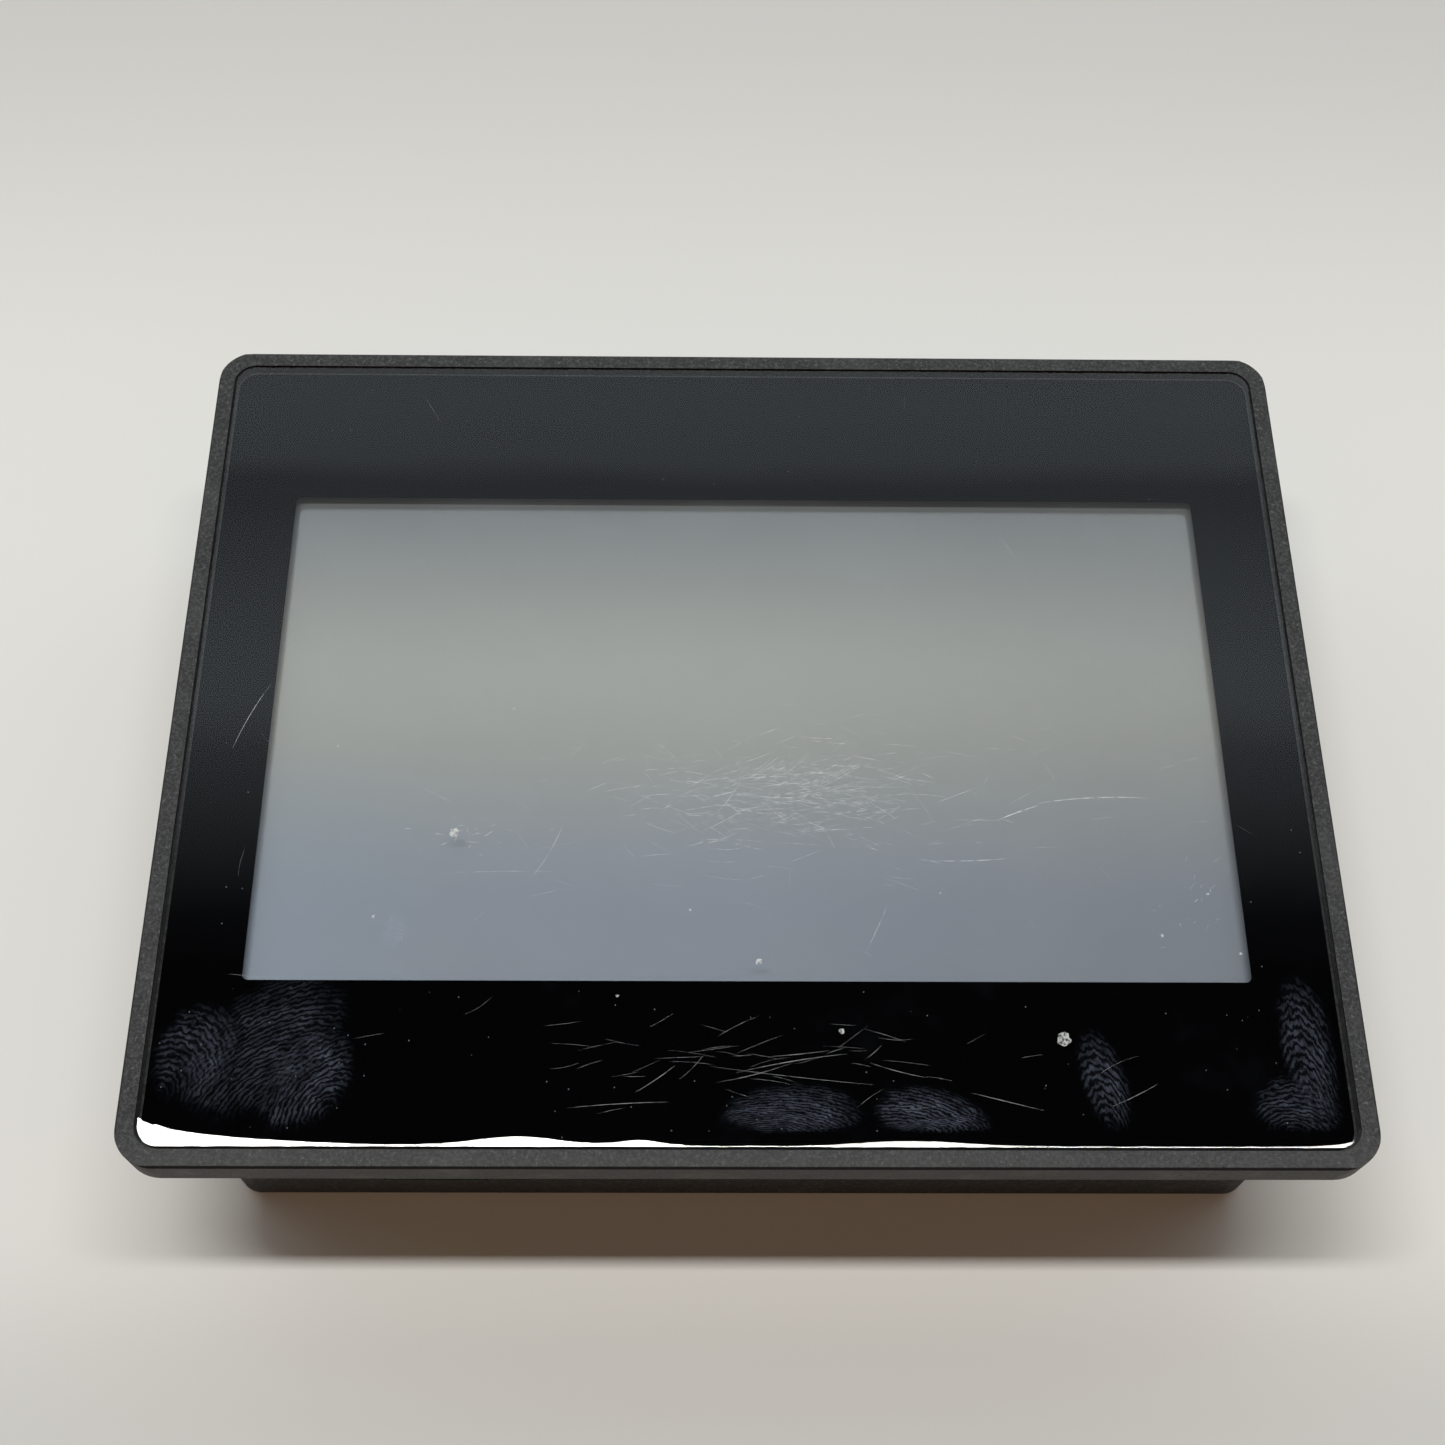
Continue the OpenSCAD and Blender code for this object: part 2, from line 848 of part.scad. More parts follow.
module serial_insert() {
    inner_w = serial_shell_w - 2.2 * serial_shell_t;
    inner_h = serial_shell_h - 2 * serial_shell_t;
    block_w = serial_w - 2;
    block_h = 10.6;
    hole_d = 1.1;
    flange_end = serial_flange_y + serial_flange_t;
    color("#16171a")
        difference() {
            union() {
                d_outline(inner_w, inner_h, serial_front + 0.4, flange_end + eps);
                bar(serial_x, block_w, flange_end, serial_block_end,
                    serial_z - block_h / 2, serial_z + block_h / 2);
            }
            for (c = serial_contact_list)
                translate([c[0], serial_front, contact_z(c[1])])
                    rotate([-90, 0, 0])
                        cylinder(d = hole_d, h = 6);
            for (s = [-1, 1])
                translate([serial_x + s * serial_screw_pitch / 2, flange_end - 1, serial_z])
                    rotate([-90, 0, 0])
                        cylinder(d = jackscrew_thread_d, h = 6);
        }
}

// Tails that leave the block and turn up through the board
module serial_contacts() {
    t = contact_t;
    color("#d8b14e")
        for (c = serial_contact_list)
            union() {
                bar(c[0], t, serial_block_end, contact_leg_y(c[1]) + t / 2,
                    contact_z(c[1]) - t / 2, contact_z(c[1]) + t / 2);
                bar(c[0], t, contact_leg_y(c[1]) - t / 2, contact_leg_y(c[1]) + t / 2,
                    contact_z(c[1]), z_board_top + 0.8);
            }
}

// Hexagonal posts that take the screws of a serial plug
module serial_jackscrews() {
    hex_d = 5;
    hex_len = 5;
    tail_len = 5;
    color("#c6c8ca")
        for (s = [-1, 1])
            translate([serial_x + s * serial_screw_pitch / 2, serial_flange_y, serial_z])
                rotate([90, 0, 0])
                    difference() {
                        union() {
                            cylinder(d = hex_d / cos(30), h = hex_len, $fn = 6);
                            translate([0, 0, -tail_len])
                                cylinder(d = jackscrew_thread_d, h = tail_len + eps);
                        }
                        translate([0, 0, 0.5])
                            cylinder(d = serial_screw_core, h = hex_len);
                    }
}

// ---- Power terminals ----

// Clamp bar of one pole and its leg up through the board
module terminal_bar() {
    bar(0, bar_w, pole_y - cage_len / 2 + 0.2, pin_y + pin_t / 2, bar_bottom, bar_top);
    bar(0, pin_t, pin_y - pin_t / 2, pin_y + pin_t / 2, bar_bottom, z_board_top + 0.8);
}

module terminal_bars() {
    color("#c79a4a")
        at_poles()
            union()
                terminal_bar();
}

module terminal_block() {
    clamp_room_w = cage_w + 2 * run_gap;
    clamp_room_len = cage_len + 2 * run_gap + 0.2;
    open_height = cage_top - cage_far_t + clamp_travel - bar_top;
    color("#2f8757")
        difference() {
            bar(terminal_x, block_w, front_y, block_end, block_bottom, z_board);
            at_poles() {
                terminal_bar();
                // Room the cage moves in
                bar(0, clamp_room_w, pole_y - clamp_room_len / 2, pole_y + clamp_room_len / 2,
                    screw_seat + shelf_t, clamp_room_top);
                // Screw well and the hole under its head
                post(0, pole_y, screw_head_d + 2 * run_gap, block_bottom - 1, screw_seat);
                post(0, pole_y, screw_d + 2 * run_gap, screw_seat - eps, screw_seat + shelf_t + eps);
                // Wire entry
                translate([0, front_y - 1, bar_top + open_height / 2])
                    rotate([-90, 0, 0])
                        cylinder(d = wire_d, h = pole_y - front_y);
            }
        }
}

// Slotted clamp screw of one pole
module clamp_screw(i) {
    slot_t = 0.6;
    slot_depth = 0.9;
    head_bottom = screw_seat - screw_head_h;
    color("#b9bdc0")
        translate([pole_x(i), pole_y, 0])
            difference() {
                union() {
                    post(0, 0, screw_head_d, head_bottom, screw_seat - 0.02);
                    post(0, 0, screw_d, screw_seat - screw_head_h / 2, screw_tip);
                }
                translate([-screw_head_d, -slot_t / 2, head_bottom - 1])
                    cube([2 * screw_head_d, slot_t, slot_depth + 1]);
            }
}

// Square cage that the screw lifts towards the contact bar
module clamp_cage(i) {
    window_w = cage_w - 2 * cage_side_t;
    color("#a8adb1")
        translate([pole_x(i), 0, 0])
            difference() {
                bar(0, cage_w, pole_y - cage_len / 2, pole_y + cage_len / 2, cage_bottom, cage_top);
                bar(0, window_w, pole_y - cage_len, pole_y + cage_len,
                    cage_bottom + cage_near_t, cage_top - cage_far_t);
                post(0, pole_y, screw_d + 2 * thread_gap, cage_bottom - 1, cage_bottom + cage_near_t + eps);
            }
}

// ---- Rear housing ----

module housing_outside() {
    union() {
        chamfered_slab(deep_w, body_h, body_r, 0, z_face_back, 0, back_chamfer);
        chamfered_slab(body_w, body_h, body_r, z_step, z_face_back, 0, back_chamfer);
    }
}

module housing_room() {
    union() {
        slab(deep_cavity_w, cavity_h, body_r - wall_t, wall_t, z_face_back + 1);
        slab(cavity_w, cavity_h, body_r - wall_t, z_step + wall_t, z_face_back + 1);
    }
}

// One slot in each half of every wall, or the thicker pad behind it
module clamp_slot_shapes(is_pad) {
    depth = is_pad ? clamp_slot_depth + clamp_pad_edge : clamp_slot_depth;
    out = is_pad ? -wall_t / 2 : 1;
    len = is_pad ? clamp_slot_len + 2 * clamp_pad_edge : clamp_slot_len;
    z0 = is_pad ? z_clamp_slot - clamp_pad_edge : z_clamp_slot;
    z1 = is_pad ? z_clamp_slot + clamp_slot_h + clamp_pad_edge / 2 : z_clamp_slot + clamp_slot_h;
    for (turn = [0, 180], side = [-1, 1])
        rotate([0, 0, turn]) {
            box([body_w / 2 - depth, side * clamp_slot_y - len / 2, z0],
                [body_w / 2 + out, side * clamp_slot_y + len / 2, z1]);
            box([side * clamp_slot_x - len / 2, body_h / 2 - depth, z0],
                [side * clamp_slot_x + len / 2, body_h / 2 + out, z1]);
        }
}

// Two rows of air slots in the back and one in the upper wall
module vent_slots() {
    for (i = [0 : vent_count - 1]) {
        x = (i - (vent_count - 1) / 2) * vent_pitch;
        for (y = [vent_field_low + vent_len / 2, vent_field_high - vent_len / 2])
            translate([x, y, -1])
                linear_extrude(height = wall_t + 2)
                    rounded_rect(vent_w, vent_len, vent_w / 2 - eps);
        bar(x, vent_w, body_h / 2 - wall_t - 1, body_h / 2 + 1, wall_vent_low, wall_vent_high);
    }
}

// Windows in the lower wall and driver holes behind the clamp screws
module socket_windows() {
    gap = window_gap;
    y0 = front_y - 1;
    y1 = front_y + wall_t + 1;
    bar(jack_x, jack_w + 2 * gap, y0, y1, z_jack - gap, z_board + gap);
    bar(usb_x, usb_w + 2 * gap, y0, y1, z_usb - gap, z_board + gap);
    bar(terminal_x, block_w + 2 * gap, y0, y1, block_bottom - gap, z_board + gap);
    bar(serial_x, serial_w + 4 * gap, y0, y1, serial_z - serial_h / 2 - 2 * gap, z_board + gap);
    at_poles()
        post(0, pole_y, driver_hole_d, -1, wall_t + 1);
}

module rear_housing() {
    pillar_d = rear_bore_d + 3;
    color("#2b2c2e")
        difference() {
            union() {
                difference() {
                    housing_outside();
                    housing_room();
                }
                at_four(rear_screw_x, rear_screw_y)
                    post(0, 0, pillar_d, wall_t - eps, rear_screw_seat + 1.5);
                at_four(rear_screw_x, rear_screw_y)
                    post(0, 0, boss_d, wall_t, rear_boss_z);
                clamp_slot_shapes(true);
            }
            at_four(rear_screw_x, rear_screw_y) {
                post(0, 0, rear_bore_d, -1, rear_screw_seat);
                post(0, 0, m3_d + 0.4, -1, rear_boss_z + 1);
            }
            clamp_slot_shapes(false);
            vent_slots();
            socket_windows();
            translate([0, label_y, 0])
                slab(label_w, label_h, 1.5, -1, label_pocket);
        }
}

module rear_screws() {
    color("#8d9194")
        at_four(rear_screw_x, rear_screw_y)
            pan_screw(rear_screw_seat, z_ledge - 2 - rear_screw_seat);
}

module rating_label() {
    color("#c8cacb")
        translate([0, label_y, 0])
            slab(label_w - 0.8, label_h - 0.8, 1.2, label_pocket - label_t, label_pocket);
}

// ---- One line for each node ----

front_bezel();
cover_glass();
border_film();
adhesive_frame();
touch_sensor();
touch_ribbon();
dust_foam();
lcd_cell();
lcd_shell();
light_guide();
led_strip();
lcd_ribbon();
panel_seal();
carrier_plate();
carrier_screws();
board_posts();
main_board();
board_screws();
ribbon_sockets();
processor();
memory_chips();
power_inductors();
filter_capacitors();
buzzer();
ethernet_shell();
ethernet_insert();
ethernet_contacts();
usb_shell();
usb_insert();
serial_shell();
serial_insert();
serial_contacts();
serial_jackscrews();
terminal_block();
terminal_bars();
clamp_screw(0);  // clamp_screw_1
clamp_screw(1);  // clamp_screw_2
clamp_screw(2);  // clamp_screw_3
clamp_cage(0);  // clamp_cage_1
clamp_cage(1);  // clamp_cage_2
clamp_cage(2);  // clamp_cage_3
rear_housing();
rear_screws();
rating_label();
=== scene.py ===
"""Looks, light and camera for the operator touch panel, in metres and in the frame of the CAD."""

import json
import math
import random

import bmesh
import bpy
from mathutils import Matrix, Vector


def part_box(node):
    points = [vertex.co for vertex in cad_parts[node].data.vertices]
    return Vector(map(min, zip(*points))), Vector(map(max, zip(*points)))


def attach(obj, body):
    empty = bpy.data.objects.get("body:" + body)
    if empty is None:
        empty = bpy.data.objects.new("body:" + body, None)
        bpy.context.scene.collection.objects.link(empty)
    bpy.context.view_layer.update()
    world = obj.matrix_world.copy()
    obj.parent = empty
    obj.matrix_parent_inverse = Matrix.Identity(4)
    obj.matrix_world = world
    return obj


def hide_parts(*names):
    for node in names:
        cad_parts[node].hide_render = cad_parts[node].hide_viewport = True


MM = 0.001
BODY = "panel"

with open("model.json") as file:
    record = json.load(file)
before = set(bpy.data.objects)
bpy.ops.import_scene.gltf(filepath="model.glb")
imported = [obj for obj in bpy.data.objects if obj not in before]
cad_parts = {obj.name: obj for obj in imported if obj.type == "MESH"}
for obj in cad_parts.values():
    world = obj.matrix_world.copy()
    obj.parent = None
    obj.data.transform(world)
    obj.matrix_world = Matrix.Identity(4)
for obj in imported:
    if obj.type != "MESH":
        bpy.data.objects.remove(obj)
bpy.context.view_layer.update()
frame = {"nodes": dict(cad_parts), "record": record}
nodes = frame["nodes"]

bezel_low, bezel_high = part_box("front_bezel")
glass_low, glass_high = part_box("cover_glass")
_, lcd_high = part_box("lcd_shell")

GLASS_TOP = glass_high.z
LCD_SIDE = 4.75 * MM
LCD_END = 8 * MM
WINDOW_X = lcd_high.x - LCD_SIDE
WINDOW_Y = lcd_high.y - LCD_END

# How far the thin layers on the glass lie above it
SCRATCH_LIFT = 0.004 * MM
MARK_LIFT = 0.008 * MM


# ---- Shader building ----

class Surface:
    """A material and short calls that add nodes to it."""

    def __init__(self, name, color, roughness=0.5, metallic=0.0):
        self.material = bpy.data.materials.new(name)
        self.material.use_nodes = True
        self.tree = self.material.node_tree
        self.shader = self.tree.nodes["Principled BSDF"]
        self.output = self.tree.nodes["Material Output"]
        self.shader.inputs["Base Color"].default_value = (*color, 1)
        self.shader.inputs["Roughness"].default_value = roughness
        self.shader.inputs["Metallic"].default_value = metallic
        self.place = self.add("ShaderNodeTexCoord").outputs["Object"]

    def add(self, kind, **settings):
        node = self.tree.nodes.new(kind)
        for key, value in settings.items():
            setattr(node, key, value)
        return node

    def put(self, value, socket):
        """Links an output to a socket, or writes a plain value on it."""
        if isinstance(value, bpy.types.NodeSocket):
            self.tree.links.new(value, socket)
        else:
            socket.default_value = value

    def mapped(self, centre=(0, 0, 0), turn=0.0, scale=(1, 1, 1)):
        """Object coordinates counted from centre, turned about Z and divided by scale."""
        node = self.add("ShaderNodeMapping", vector_type="TEXTURE")
        self.put(self.place, node.inputs["Vector"])
        node.inputs["Location"].default_value = centre
        node.inputs["Rotation"].default_value = (0, 0, turn)
        node.inputs["Scale"].default_value = scale
        return node.outputs["Vector"]

    def noise(self, size, detail=2.0, rough=0.5, place=None):
        """Noise from 0 to 1 with blotches of about the given size."""
        node = self.add("ShaderNodeTexNoise")
        self.put(place or self.place, node.inputs["Vector"])
        node.inputs["Scale"].default_value = 1 / size
        node.inputs["Detail"].default_value = detail
        node.inputs["Roughness"].default_value = rough
        return node.outputs["Fac"]

    def cells(self, size, feature="F1", output="Distance", place=None):
        """Distance or colour of cells of about the given size."""
        node = self.add("ShaderNodeTexVoronoi", feature=feature)
        self.put(place or self.place, node.inputs["Vector"])
        node.inputs["Scale"].default_value = 1 / size
        return node.outputs[output]

    def math(self, operation, a, b=0.0, clamp=False):
        node = self.add("ShaderNodeMath", operation=operation, use_clamp=clamp)
        self.put(a, node.inputs[0])
        self.put(b, node.inputs[1])
        return node.outputs[0]

    def step(self, value, low, high, out_low=0.0, out_high=1.0):
        """Moves smoothly from out_low to out_high while value goes from low to high."""
        node = self.add("ShaderNodeMapRange", interpolation_type="SMOOTHSTEP")
        self.put(value, node.inputs["Value"])
        for name, number in zip(("From Min", "From Max", "To Min", "To Max"), (low, high, out_low, out_high)):
            node.inputs[name].default_value = number
        return node.outputs["Result"]

    def mix(self, factor, a, b):
        """Colour between a and b."""
        node = self.add("ShaderNodeMix", data_type="RGBA")
        self.put(factor, node.inputs["Factor"])
        for value, socket in ((a, node.inputs[6]), (b, node.inputs[7])):
            self.put((*value, 1) if isinstance(value, tuple) else value, socket)
        return node.outputs[2]

    def blend(self, factor, a, b):
        """Shader between a and b."""
        node = self.add("ShaderNodeMixShader")
        self.put(factor, node.inputs[0])
        self.put(a, node.inputs[1])
        self.put(b, node.inputs[2])
        return node.outputs[0]

    def bump(self, height, depth, under=None):
        """Normal of a relief of the given depth, laid over the relief under it."""
        node = self.add("ShaderNodeBump")
        node.inputs["Distance"].default_value = depth
        self.put(height, node.inputs["Height"])
        if under is not None:
            self.put(under, node.inputs["Normal"])
        return node.outputs["Normal"]

    def paint(self, color=None, roughness=None, normal=None):
        for name, value in (("Base Color", color), ("Roughness", roughness), ("Normal", normal)):
            if value is not None:
                self.put(value, self.shader.inputs[name])

    def show(self, shader):
        self.put(shader, self.output.inputs["Surface"])


def shade(color, factor):
    return tuple(c * factor for c in color)


# ---- Materials of the frame and the housing ----

def grained_plastic(name, color, grain, depth, roughness):
    """Moulded plastic with a leathery grain, painted shade in its hollows and a painted highlight on its
    tops, light specks, worn a little lighter in places.
    """
    s = Surface(name, color, roughness)
    s.shader.inputs["Specular IOR Level"].default_value = 0.15
    warp = s.noise(grain * 1.6, 3)
    bumps = s.cells(grain, "SMOOTH_F1")
    fine = s.noise(grain * 0.45, 4, 0.65)
    height = s.math("ADD", s.math("MULTIPLY", bumps, 0.7), s.math("MULTIPLY", fine, 0.8))
    height = s.math("ADD", height, s.math("MULTIPLY", warp, 0.6))
    worn = s.step(s.noise(9 * MM, 4, 0.6), 0.45, 0.75)
    light = s.step(s.math("MULTIPLY", fine, s.noise(0.7 * MM, 2)), 0.3, 0.42)
    # Painted shade and highlight: the hollows of the grain darker and its tops lighter
    tone = s.mix(s.step(height, 0.8, 1.35), shade(color, 0.55), shade(color, 1.3))
    tone = s.mix(s.math("MULTIPLY", light, 0.5), tone, shade(color, 4))
    tone = s.mix(s.math("MULTIPLY", worn, 0.3), tone, shade(color, 1.5))
    gloss = s.step(worn, 0, 1, roughness, roughness - 0.1)
    s.paint(color=tone, roughness=gloss, normal=s.bump(height, depth))
    return s, tone


def frame_plastic():
    """Grained plastic: painted shade in the chamfer of its front edge, the near rim and its side wall painted
    lighter as painted light, and a few dings on the near rim.
    """
    s, tone = grained_plastic("frame_plastic", (0.051, 0.053, 0.054), 0.45 * MM, 0.08 * MM, 0.55)
    split = s.add("ShaderNodeSeparateXYZ")
    s.put(s.place, split.inputs[0])
    # Painted shade: a dark line along the chamfer just below the top edge, where the chamfer faces the dark
    # room
    below_top = s.math("SUBTRACT", bezel_high.z, split.outputs["Z"])
    chamfer_shade_start = s.step(below_top, 0.03 * MM, 0.1 * MM)
    chamfer_shade_end = s.step(below_top, 0.34 * MM, 0.42 * MM, 1, 0)
    line = s.math("MULTIPLY", chamfer_shade_start, chamfer_shade_end)
    dings_start = s.step(split.outputs["X"], 60 * MM, 63 * MM)
    dings_end = s.step(split.outputs["X"], 71 * MM, 74 * MM, 1, 0)
    on_near_rim = s.step(split.outputs["Y"], -71.5 * MM, -71 * MM, 1, 0)
    place = s.math("MULTIPLY", s.math("MULTIPLY", dings_start, dings_end), on_near_rim)
    dings = s.math("MULTIPLY", s.step(s.cells(1.9 * MM), 0.1, 0.16, 1, 0), place)
    # Painted light: the near rim and its side wall lightened towards the near edge
    dust = s.step(split.outputs["Y"], -73 * MM, -66 * MM, 0.3, 0)
    # The painted shade of the chamfer together with the dark dings
    dark = s.math("MAXIMUM", s.math("MULTIPLY", line, 0.9), dings)
    s.paint(color=s.mix(dark, s.mix(dust, tone, (0.1, 0.103, 0.104)), (0.005, 0.005, 0.006)))
    return s.material


def housing_plastic():
    s, _ = grained_plastic("housing_plastic", (0.036, 0.0365, 0.037), 0.6 * MM, 0.05 * MM, 0.6)
    return s.material


# ---- Materials seen through the glass ----

def black_print():
    s = Surface("black_print", (0.001, 0.001, 0.0012), 0.35)
    s.shader.inputs["Specular IOR Level"].default_value = 0
    tone = s.mix(s.noise(6 * MM, 3), (0.0006, 0.0006, 0.0009), (0.0012, 0.0012, 0.0017))
    s.paint(color=tone, normal=s.bump(s.noise(0.3 * MM, 2), 0.002 * MM))
    return s.material


def sensor_film():
    """Clear film with a faint haze."""
    s = Surface("sensor_film", (0.6, 0.66, 0.68), 0.3)
    haze = s.step(s.noise(25 * MM, 3), 0.3, 0.7, 0.01, 0.03)
    clear = s.add("ShaderNodeBsdfTransparent").outputs[0]
    s.show(s.blend(haze, clear, s.shader.outputs[0]))
    return s.material


def display_face():
    """Switched-off display behind its anti-glare layer, with painted reflection and shade: bluer towards the
    near end and the near left, darker towards the far end and to the right.
    """
    s = Surface("lcd", (0.24, 0.25, 0.23), 0.17)
    s.shader.inputs["IOR"].default_value = 2.1
    split = s.add("ShaderNodeSeparateXYZ")
    s.put(s.place, split.inputs[0])
    # Painted reflection: bluer towards the near end; painted shade: darker towards the far end
    near = s.step(split.outputs["Y"], -0.75 * WINDOW_Y, 0.1 * WINDOW_Y, 1, 0)
    far = s.step(split.outputs["Y"], 0.2 * WINDOW_Y, 1.05 * WINDOW_Y)
    tone = s.mix(near, (0.3, 0.312, 0.283), (0.235, 0.275, 0.345))
    tone = s.mix(far, tone, (0.13, 0.143, 0.15))
    # Painted shade: darker towards the right
    right = s.step(split.outputs["X"], -0.2 * WINDOW_X, WINDOW_X, 0, 0.3)
    tone = s.mix(right, tone, (0.12, 0.122, 0.12))
    # Painted reflection: bluer still at the near left
    left = s.math("MULTIPLY", near, s.step(split.outputs["X"], -WINDOW_X, -0.5 * WINDOW_X, 0.5, 0))
    tone = s.mix(left, tone, (0.27, 0.34, 0.42))
    cloud = s.step(s.noise(30 * MM, 3), 0.3, 0.7)
    tone = s.mix(s.math("MULTIPLY", cloud, 0.12), tone, (0.22, 0.235, 0.235))
    sparkle = s.noise(0.08 * MM, 2)
    s.paint(color=tone, normal=s.bump(sparkle, 0.002 * MM))
    return s.material


# ---- The cover glass with its marks ----

def cover_glass_material():
    """Clear glass that mirrors on its outer side, with a little dust and a thin veil of grease."""
    s = Surface("cover_glass", (0.62, 0.68, 0.8), 0.6)
    wave = s.mapped(scale=(1, 0.6, 1))
    swell = s.bump(s.noise(45 * MM, 1.5, 0.4, wave), 0.035 * MM)
    gloss = s.add("ShaderNodeBsdfGlossy")
    gloss.inputs["Roughness"].default_value = 0.012
    s.put(swell, gloss.inputs["Normal"])
    fresnel = s.add("ShaderNodeFresnel")
    fresnel.inputs["IOR"].default_value = 1.55
    inner = s.add("ShaderNodeNewGeometry").outputs["Backfacing"]
    outer = s.math("SUBTRACT", 1.0, inner)
    mirror = s.math("MULTIPLY", fresnel.outputs[0], outer)
    clear = s.add("ShaderNodeBsdfTransparent").outputs[0]
    dust = s.step(s.cells(2.6 * MM), 0.025, 0.05, 0.25, 0)
    veil = s.step(s.noise(22 * MM, 4, 0.65), 0.55, 0.8, 0, 0.004)
    dull = s.add("ShaderNodeBsdfDiffuse")
    dull.inputs["Color"].default_value = (0.58, 0.64, 0.76, 1)
    s.show(s.blend(s.math("MULTIPLY", s.math("MAXIMUM", dust, veil), outer),
                   s.blend(mirror, clear, gloss.outputs[0]), dull.outputs[0]))
    return s.material


def rounded_outline(half_x, half_y, radius, steps):
    """Points of a rounded rectangle, counter-clockwise, with the same count for every size."""
    points = []
    for corner, (sx, sy) in enumerate(((1, -1), (1, 1), (-1, 1), (-1, -1))):
        for i in range(steps + 1):
            angle = math.radians(-90 + 90 * (corner + i / steps))
            points.append((sx * (half_x - radius) + radius * math.cos(angle),
                           sy * (half_y - radius) + radius * math.sin(angle)))
    return points


def split_sides(points, parts):
    """Adds points along the long straight runs of an outline."""
    long_run = 20 * MM
    out = []
    for i, a in enumerate(points):
        b = points[(i + 1) % len(points)]
        count = parts if (Vector(a) - Vector(b)).length > long_run else 1
        for k in range(count):
            t = k / count
            out.append((a[0] + (b[0] - a[0]) * t, a[1] + (b[1] - a[1]) * t))
    return out


# The glass slopes down along its near edge, over a width that varies (all in millimetres).
EDGE_WIDTH = 0.5
# Waves of that width: middle, spread and how much wider the slope is there
EDGE_WAVES = [(-34, 9, 1.45), (-16, 4.5, 0.9), (24, 11, 0.85)]
# Extra width at a corner and how far it reaches along the edge
LEFT_CORNER = (3.2, 4.5)
LEFT_TAIL = (1.7, 24)
RIGHT_CORNER = (1.4, 3)


def slope_width(x):
    """How far in from its near edge the glass starts to slope: widest at the left corner."""
    from_left = (x - glass_low.x) / MM
    from_right = (glass_high.x - x) / MM
    width = EDGE_WIDTH
    for middle, spread, extra in EDGE_WAVES:
        width += extra * math.exp(-((x / MM - middle) / spread) ** 2)
    width += LEFT_CORNER[0] * math.exp(-from_left / LEFT_CORNER[1])
    width += LEFT_TAIL[0] * math.exp(-(from_left / LEFT_TAIL[1]) ** 2)
    width += RIGHT_CORNER[0] * math.exp(-from_right / RIGHT_CORNER[1])
    return width * MM


def slope_drop(x, y):
    """How far the top of the glass lies below its flat middle: a soft bend, then an even slope."""
    slope = math.radians(4.0)
    bend = 0.25 * MM
    depth = slope_width(x) - (y - glass_low.y)
    if depth <= 0:
        return 0.0
    if depth < bend:
        return slope * depth ** 2 / (2 * bend)
    return slope * (depth - bend / 2)


def fill_flat(shape, loop):
    """Fills a level loop with a plain middle rectangle and a fan of faces round it."""
    side = 60 * MM
    end = 40 * MM
    level = loop[0].co.z
    places = ((-1, -1), (1, -1), (1, 1), (-1, 1))
    corners = {(sx, sy): shape.verts.new((sx * side, sy * end, level)) for sx, sy in places}

    def nearest(point):
        return corners[(1 if point.co.x > 0 else -1, 1 if point.co.y > 0 else -1)]

    for i, a in enumerate(loop):
        b = loop[(i + 1) % len(loop)]
        face = [a, b, nearest(b)]
        if nearest(a) is not nearest(b):
            face.append(nearest(a))
        shape.faces.new(face)
    shape.faces.new([corners[place] for place in places])


def make_glass():
    """Cover glass whose top slopes down a little along its near edge and ends in a small chamfer.

    Rings of points run from the lower edge up and inwards, close together near the edge.
    """
    radius = 3.35 * MM
    smallest_radius = 0.2 * MM
    corner_steps = 10
    side_parts = 150
    chamfer = 0.08 * MM
    above_film = 0.01 * MM
    rings = 26
    reach = 8 * MM
    crowding = 1.4
    shape = bmesh.new()
    loops = []

    def add_ring(inset, height_at):
        ring_radius = max(radius - inset, smallest_radius)
        outline = rounded_outline(glass_high.x - inset, glass_high.y - inset, ring_radius, corner_steps)
        outline = split_sides(outline, side_parts)
        loops.append([shape.verts.new((x, y, height_at(x, y))) for x, y in outline])

    add_ring(0, lambda x, y: glass_low.z + above_film)
    add_ring(0, lambda x, y: GLASS_TOP - chamfer - slope_drop(x, y))
    for i in range(rings + 1):
        inset = chamfer + (reach - chamfer) * (i / rings) ** crowding
        add_ring(inset, lambda x, y: GLASS_TOP - slope_drop(x, y))
    for lower, upper in zip(loops, loops[1:]):
        for i in range(len(lower)):
            k = (i + 1) % len(lower)
            shape.faces.new((lower[i], lower[k], upper[k], upper[i]))
    fill_flat(shape, loops[-1])
    fill_flat(shape, loops[0])
    bmesh.ops.recalc_face_normals(shape, faces=shape.faces)
    mesh = bpy.data.meshes.new("glass_pane")
    shape.to_mesh(mesh)
    shape.free()
    for face in mesh.polygons:
        face.use_smooth = face.normal.z > 0.9
    mesh.materials.append(cover_glass_material())
    pane = bpy.data.objects.new("glass_pane", mesh)
    bpy.context.collection.objects.link(pane)
    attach(pane, BODY)
    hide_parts("cover_glass")


# ---- Finger marks on the glass ----

# Each mark: middle and half size in millimetres, turn in degrees, ridges from its middle out, strength
FINGER_MARKS = [
    ((-73, -55), (16, 10), 40, 15, 0.6),
    ((-66, -60.5), (10, 7), 60, 10, 1.0),
    ((-83, -56), (7, 9), -20, 9, 0.7),
    ((6, -65.5), (12, 5.5), 4, 13, 1.0),
    ((27, -66), (10, 5.5), -12, 11, 1.2),
    ((53, -60), (4, 9), 12, 7, 0.8),
    ((84.5, -55), (5, 13), 4, 9, 0.8),
    ((82, -64), (8, 6), 10, 8, 0.8),
    ((-54.5, -37), (2.6, 3.8), 20, 8, 1.6),
]


